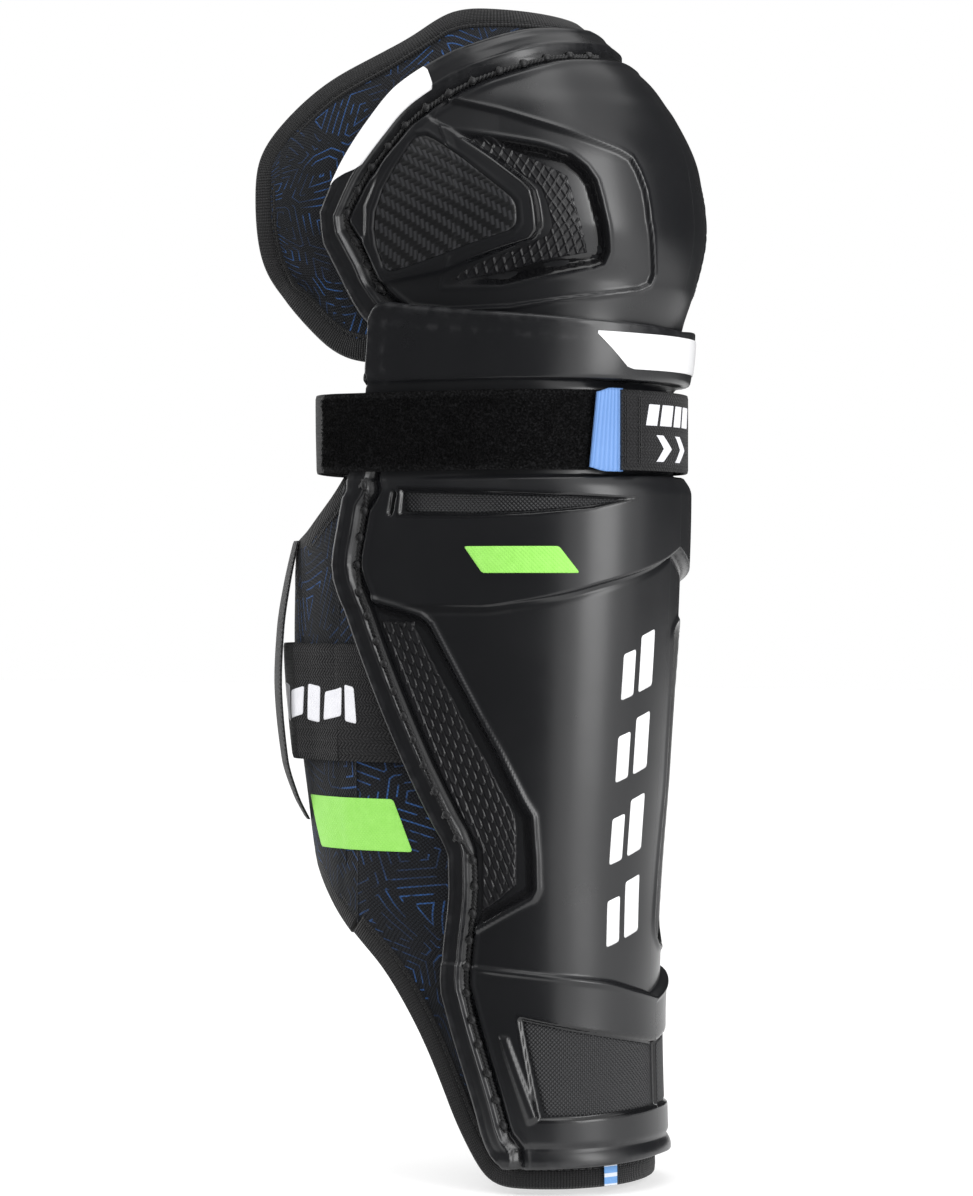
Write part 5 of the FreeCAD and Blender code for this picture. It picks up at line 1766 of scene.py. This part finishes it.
def fabrics():
    pads = []
    # knee liner
    ws = np.concatenate([np.linspace(-2, -1, 22)[:-1], np.linspace(-1, 1, 27), np.linspace(1, 2, 22)[1:]])
    def behind_hollow(u, v):
        aw = np.abs(u)
        z = 319 + (smooth([(0, 439), (0.5, 440), (1, 441)], aw) - 319) * v
        return -4.4 * ease(outline_depth(knee_girth(aw, z), z, KNEE_HOLLOW), -10, -3)
    knee, w, t = pad_mesh("knee_liner_pad", knee_liner_surface, ws, np.linspace(0, 1, 20), behind_hollow,
                          -KNEE_FOAM)
    rim = np.minimum(np.minimum(t, 1 - t) * 60, (2 - np.abs(w)) * 80)
    free = ease(np.abs(w), 1.45, 1.7) * ease(rim, 2, 10)
    add_cloth(knee, 1 - 0.9 * free, 3.5, 22)
    pads.append(knee)
    # shin liner
    ws = np.concatenate([np.linspace(-2, -1, 14)[:-1], np.linspace(-1, 1, 25), np.linspace(1, 2, 14)[1:]])
    shin, w, t = pad_mesh("shin_liner_pad", shin_liner_surface, ws, np.linspace(0, 1, 54),
                          lambda u, v: -0.5 * (1 - ease(np.abs(u), 1.5, 1.9)), -SHIN_FOAM)
    rim = np.minimum(np.minimum(t, 1 - t) * 300, (2 - np.abs(w)) * 55)
    free = ease(np.abs(w), 1.3, 1.6) * ease(rim, 2, 10)
    add_cloth(shin, 1 - 0.85 * free, 3.5, 22)
    pads.append(shin)
    # wings
    wings = {}
    for (name, side), length in zip(SIDES, (OUTER_WING, INNER_WING)):
        surface = wing_skin(side, length)
        wing, run, t = pad_mesh(f"{name}_wing_fabric", surface, np.linspace(-8, length, 22),
                                np.linspace(0, 1, 30),
                                lambda u, v: 0.35 - 0.5 * bump(u, 1.6), lambda u,
                                v: -1.0 - 6.0 * ease(u, 1, 7))
        rim = np.minimum(np.minimum(t, 1 - t) * 130, length - run)
        free = ease(rim, 3, 14) * ease(run, 1, 8)
        add_cloth(wing, 1 - 0.9 * free, 4.0, 20)
        pads.append(wing)
        wings[name] = wing
    settle(pads, 5.0)
    for piece, seed in zip(pads, (3, 5, 7, 9)):
        refine(piece, 1 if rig.quick() else 2)
        wrinkle(piece, 0.22, 38, seed)
    dress(knee, "liner_fabric", "liner_fabric", "knee", ("knee_liner",))
    dress(shin, "liner_fabric", "liner_fabric", "shin", ("shin_liner",))
    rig.padded(knee, fill=0.8)
    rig.padded(shin, fill=0.8)
    for name, side in SIDES:
        dress(wings[name], "liner_fabric", "liner_fabric", None, (f"{name}_wing_pad",))
        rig.padded(wings[name], fill=0.8)
        fold_blend(wings[name], f"{name}_wing", side)
    wing_stripe([shin, wings["outer"]])


FOLD_FRONT, FOLD_BACK = 50.0, 62.0
FOLD_LIFT = 0.5


def wing_stripe(cloths):
    """Plain slanted green bar across the outer wing and the liner in front of it."""
    trees = []
    for cloth in cloths:
        bm = bmesh.new()
        bm.from_mesh(cloth.data)
        trees.append(BVHTree.FromBMesh(bm))
        bm.free()

    def skin(q, z):
        """Base points and outward directions of the cloth, without its padding."""
        flat = liner_wall(10 - np.minimum(q, 30), z, 0 * q, -1)
        calf = wrap(np.maximum(q - 30, 0), z, 0 * q, -1)
        front = (q <= 30)[..., None]
        out = np.where(front, np.array([0.0, -1.0, 0.0]), unit(calf - join(0 * q - 15, 0 * q, z)))
        return np.where(front, flat, calf), out

    def padding(q, z):
        """Height of the padded cloth over its base points."""
        base, out = skin(q, z)
        heights = []
        for point, way in zip(base.reshape(-1, 3), out.reshape(-1, 3)):
            start = Vector((point + way * 14) * MM)
            hits = [tree.ray_cast(start, Vector(-way))[3] for tree in trees]
            heights.append(14 - min(min([hit for hit in hits if hit is not None], default=0.014) / MM, 18.0))
        return np.reshape(heights, q.shape)

    def place(q, z, lift, side=-1):
        """q is the distance back from x = 10 along the side wall, then the degrees round the calf plus 30."""
        z = z + 0 * q
        base, out = skin(q, z)
        bridge = np.clip((q - FOLD_FRONT) / (FOLD_BACK - FOLD_FRONT), 0, 1)
        over = (1 - bridge) * padding(0 * q + FOLD_FRONT, z) + bridge * padding(0 * q + FOLD_BACK, z)
        height = padding(q, z)
        height = np.where((q > FOLD_FRONT) & (q < FOLD_BACK), np.maximum(over, height), height)
        height = height + FOLD_LIFT * bump(q - 0.5 * (FOLD_FRONT + FOLD_BACK), 4)
        return base + out * (height + lift)[..., None]

    bar = rounded([(34, 146), (86, 146), (78, 126), (26, 126)], 1.5)
    stripe = merged("wing_stripe", [patch_part(bar, place, 0.25, -0.2, -1, rings=26, count=260, rim=0.1)])
    dress(stripe, "print_green", "liner_fabric")
    fold_blend(stripe, "outer_wing", -1)


def bindings():
    # knee: one tape round the whole outline
    t = np.linspace(0, 1, 24)
    side_w = np.linspace(1.45, 2, 120)
    top_w = np.linspace(2, -2, 420)
    us = np.concatenate([side_w, np.full(24, 2.0), top_w, np.full(24, -2.0), -side_w[::-1]])
    vs = np.concatenate([0 * side_w, t, 0 * top_w + 1, t[::-1], 0 * side_w])
    raw = knee_liner_surface(us, vs, -0.5 * KNEE_FOAM + 0 * us)
    rows = even_rows(raw, 1.3)
    us, vs = np.interp(rows, np.arange(len(us)), us), np.interp(rows, np.arange(len(vs)), vs)

    def into(u, v):
        return u * 0.985, v + (0.5 - v) * 0.03
    path, inward, out = edge_frames(knee_liner_surface, us, vs, -0.5 * KNEE_FOAM, into)
    path = smooth_path(path, 30)
    edge_binding("knee_binding", path - inward * 4.2, inward, out, KNEE_FOAM - 0.4, 9.0, body="knee")
    replaced = bpy.data.objects["knee_binding"]
    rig.replaces(replaced, "knee_liner_binding")
    # shin liner: down one rear edge, round the bottom and up the other
    t = np.linspace(0.31, 0, 90)
    ws = np.linspace(-2, 2, 420)
    us = np.concatenate([np.full(90, -2.0), ws, np.full(90, 2.0)])
    vs = np.concatenate([t, 0 * ws, t[::-1]])
    raw = shin_liner_surface(us, vs, -0.5 * SHIN_FOAM + 0 * us)
    rows = even_rows(raw, 1.3)
    us, vs = np.interp(rows, np.arange(len(us)), us), np.interp(rows, np.arange(len(vs)), vs)

    def into_shin(u, v):
        return u * 0.985, v + (0.5 - v) * 0.02
    path, inward, out = edge_frames(shin_liner_surface, us, vs, -0.5 * SHIN_FOAM, into_shin)
    path = smooth_path(path, 14)
    edge_binding("shin_binding", path - inward * 3.6, inward, out, SHIN_FOAM - 0.2, 8.0, body="shin")
    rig.replaces(bpy.data.objects["shin_binding"], "shin_liner_binding")
    # wings: along the top edge, round the tip and back along the bottom edge
    for (name, side), length in zip(SIDES, (OUTER_WING, INNER_WING)):
        surface = wing_skin(side, length)
        runs = np.linspace(-8, length, 130)
        t = np.linspace(1, 0, 120)[1:-1]
        us = np.concatenate([runs, np.full(len(t), length), runs[::-1]])
        vs = np.concatenate([0 * runs + 1, t, 0 * runs])
        raw = surface(us, vs, -3.0 + 0 * us)
        rows = even_rows(raw, 1.3)
        us, vs = np.interp(rows, np.arange(len(us)), us), np.interp(rows, np.arange(len(vs)), vs)

        def into_wing(u, v, length=length):
            return u + np.where(u > length - 0.5, -0.8, 0.0), v + (0.5 - v) * 0.03
        path, inward, out = edge_frames(surface, us, vs, -3.2, into_wing)
        path = smooth_path(path, 20)
        pieces = edge_binding(f"{name}_wing_tape", path - inward * 3.2, inward, out, 6.2, 8.0)
        for piece in pieces:
            fold_blend(piece, f"{name}_wing", side)
        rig.replaces(pieces[0], f"{name}_wing_binding")


def small_fabrics():
    def pad(w, t, lift):
        z = 335 + 73 * t
        return section(KNEE, w, z, LINER_LIFT - KNEE_FOAM - 0.3 + lift, 0 * w)

    def depth(u, v):
        round_edge = np.clip(np.minimum((0.62 - np.abs(u)) * 90, np.minimum(v, 1 - v) * 73) / 9, 0, 1)
        quilt = 0.8 * bump(np.abs(np.abs(u) - 0.22), 0.03) + 0.8 * bump(v - 0.5, 0.05)
        return -1.0 - 8.0 * np.sqrt(1 - (1 - round_edge) ** 2) + quilt
    cup = shell("knee_cup_pad", pad, np.linspace(-0.62, 0.62, 90), np.linspace(0, 1, 60), 0.0, depth)
    dress(cup, "pad_fabric", "pad_fabric", "knee", ("knee_pad",))
    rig.padded(cup, fill=0.9)

    def tag(w, z, lift):
        return section(LINER, w, z, LINER_LIFT + 1.4 + lift, 0 * w)
    label = shell("size_tag", tag, np.linspace(-0.40, -0.31, 16), np.linspace(1.2, 8.8, 16), 0.5, 0.0,
                  rim=0.2)
    dress(label, "label_satin", "label_satin", "shin", ("size_label",))

    def bridge(w, t, lift):
        z = 296 + 32 * t
        fold = 1.2 * np.sin(t * math.pi * 3) * ease(t, 0, 0.2) * (1 - ease(t, 0.8, 1))
        return section(LINER, w, z, LINER_LIFT - 3.0 + fold + lift, -24 + 0 * z)
    sleeve = shell("knee_bridge", bridge, np.linspace(-1.9, 1.9, 160), np.linspace(0, 1, 40), 0.0, -1.2,
                   rim=0.4)
    dress(sleeve, "strap_elastic", "strap_elastic")
    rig.sheet(sleeve, flat=(0.217, 0.033), held="stretched", rests_on=["shin_liner", "knee_liner"])
    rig.blend(sleeve, "shin", "knee", (0, 0, 0.300), (0, 0, 0.326))


# ---------------------------------------------------------------- stage, light and camera
def area_light(name, place, target, size, power):
    data = bpy.data.lights.new(name, "AREA")
    data.shape = "RECTANGLE"
    data.size, data.size_y = size
    data.energy = power
    data.spread = math.pi
    lamp = bpy.data.objects.new(name, data)
    bpy.context.scene.collection.objects.link(lamp)
    lamp.location = place
    lamp.rotation_euler = (Vector(target) - Vector(place)).to_track_quat("-Z", "Y").to_euler()
    return lamp


def flag(name, rows, cols, place):
    """Dark card that only reflections see, as a studio flag keeps the room off a glossy surface."""
    u, v = np.meshgrid(rows, cols, indexing="ij")
    card = make_mesh(name, place(u, v).reshape(-1, 3), [grid_faces(len(rows), len(cols))])
    made, g = new_material(name)
    g.finish(rgb(0, 0, 0), 1.0, Specular_IOR_Level=0.0, Emission_Color=rgb(1, 1, 1), Emission_Strength=0.05)
    card.data.materials.append(made)
    card.visible_camera = False
    card.visible_diffuse = False
    card.visible_shadow = False
    card.visible_transmission = False
    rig.stage(card)


def stage():
    bpy.ops.mesh.primitive_plane_add(size=14, location=(0, 0, -0.002))
    floor = bpy.context.object
    floor.name = "floor"
    made, g = new_material("floor_white")
    g.finish(rgb(0.55, 0.55, 0.55), 0.7, Emission_Color=rgb(1, 1, 1), Emission_Strength=0.50)
    floor.data.materials.append(made)
    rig.stage(floor)
    bpy.context.scene.view_settings.view_transform = "Standard"
    world = bpy.data.worlds.new("studio")
    bpy.context.scene.world = world
    world.use_nodes = True
    background = world.node_tree.nodes["Background"]
    background.inputs[0].default_value = (1.0, 1.0, 1.0, 1.0)
    background.inputs[1].default_value = 1.0
    angles = np.radians(np.linspace(-80, 36, 40))
    flag("front_flag", angles, np.linspace(0, 3000, 8),
         lambda a, h: join(1150 * np.sin(a), -1150 * np.cos(a), h))
    flag("rear_flag", np.radians(np.linspace(105, 235, 40)), np.linspace(60, 2200, 8),
         lambda a, h: join(1900 * np.sin(a), -1900 * np.cos(a), h))
    flag("floor_flag", angles, np.linspace(130, 1150, 8), lambda a,
         r: join(r * np.sin(a), -r * np.cos(a), 0 * r))
    flag("top_flag", np.linspace(-900, 200, 6), np.linspace(-1150, 500, 6), lambda x,
         y: join(x, y, 1700 + 0 * x))
    middle = (0, 0, 0.22)
    area_light("front_softbox", (1.25, -0.50, 0.45), middle, (0.55, 1.5), 14)
    area_light("near_fill", (-0.2, -1.3, 1.5), middle, (0.9, 0.7), 5)
    area_light("top_softbox", (0.2, -0.3, 1.6), middle, (1.0, 0.9), 5)
    area_light("edge_strip", (-1.25, -0.20, 0.5), middle, (0.12, 1.3), 5)
    area_light("rear_fill", (-1.4, 0.9, 0.8), middle, (1.2, 1.2), 4)


def camera():
    azimuth = math.radians(25.0)
    distance = 1.4
    target = Vector((-0.006, 0, 0.2226))
    data = bpy.data.cameras.new("camera")
    eye = bpy.data.objects.new("camera", data)
    bpy.context.scene.collection.objects.link(eye)
    eye.location = target + Vector((math.sin(azimuth), -math.cos(azimuth), 0)) * distance
    eye.rotation_euler = (target - eye.location).to_track_quat("-Z", "Y").to_euler()
    data.lens = 108.0
    data.sensor_width = 36.0
    data.clip_start = 0.05
    bpy.context.scene.camera = eye


def main():
    camera()
    stage()
    fabrics()
    bindings()
    shin_cap()
    knee_cap()
    inserts()
    bars_and_badges()
    plate_stripe()
    lock_stitches("shin_lock_stitches", shin_seam, 10.2, "shin", "shin_stitching")
    lock_stitches("knee_lock_stitches", knee_seam, 10.2, "knee", "knee_stitching")
    upper_strap()
    lower_strap()
    small_fabrics()


main()
json.dump({"cad": [list(corner) for corner in cad_box], "visual": [list(corner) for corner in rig.bounds()]},
          open("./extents.json", "w"))
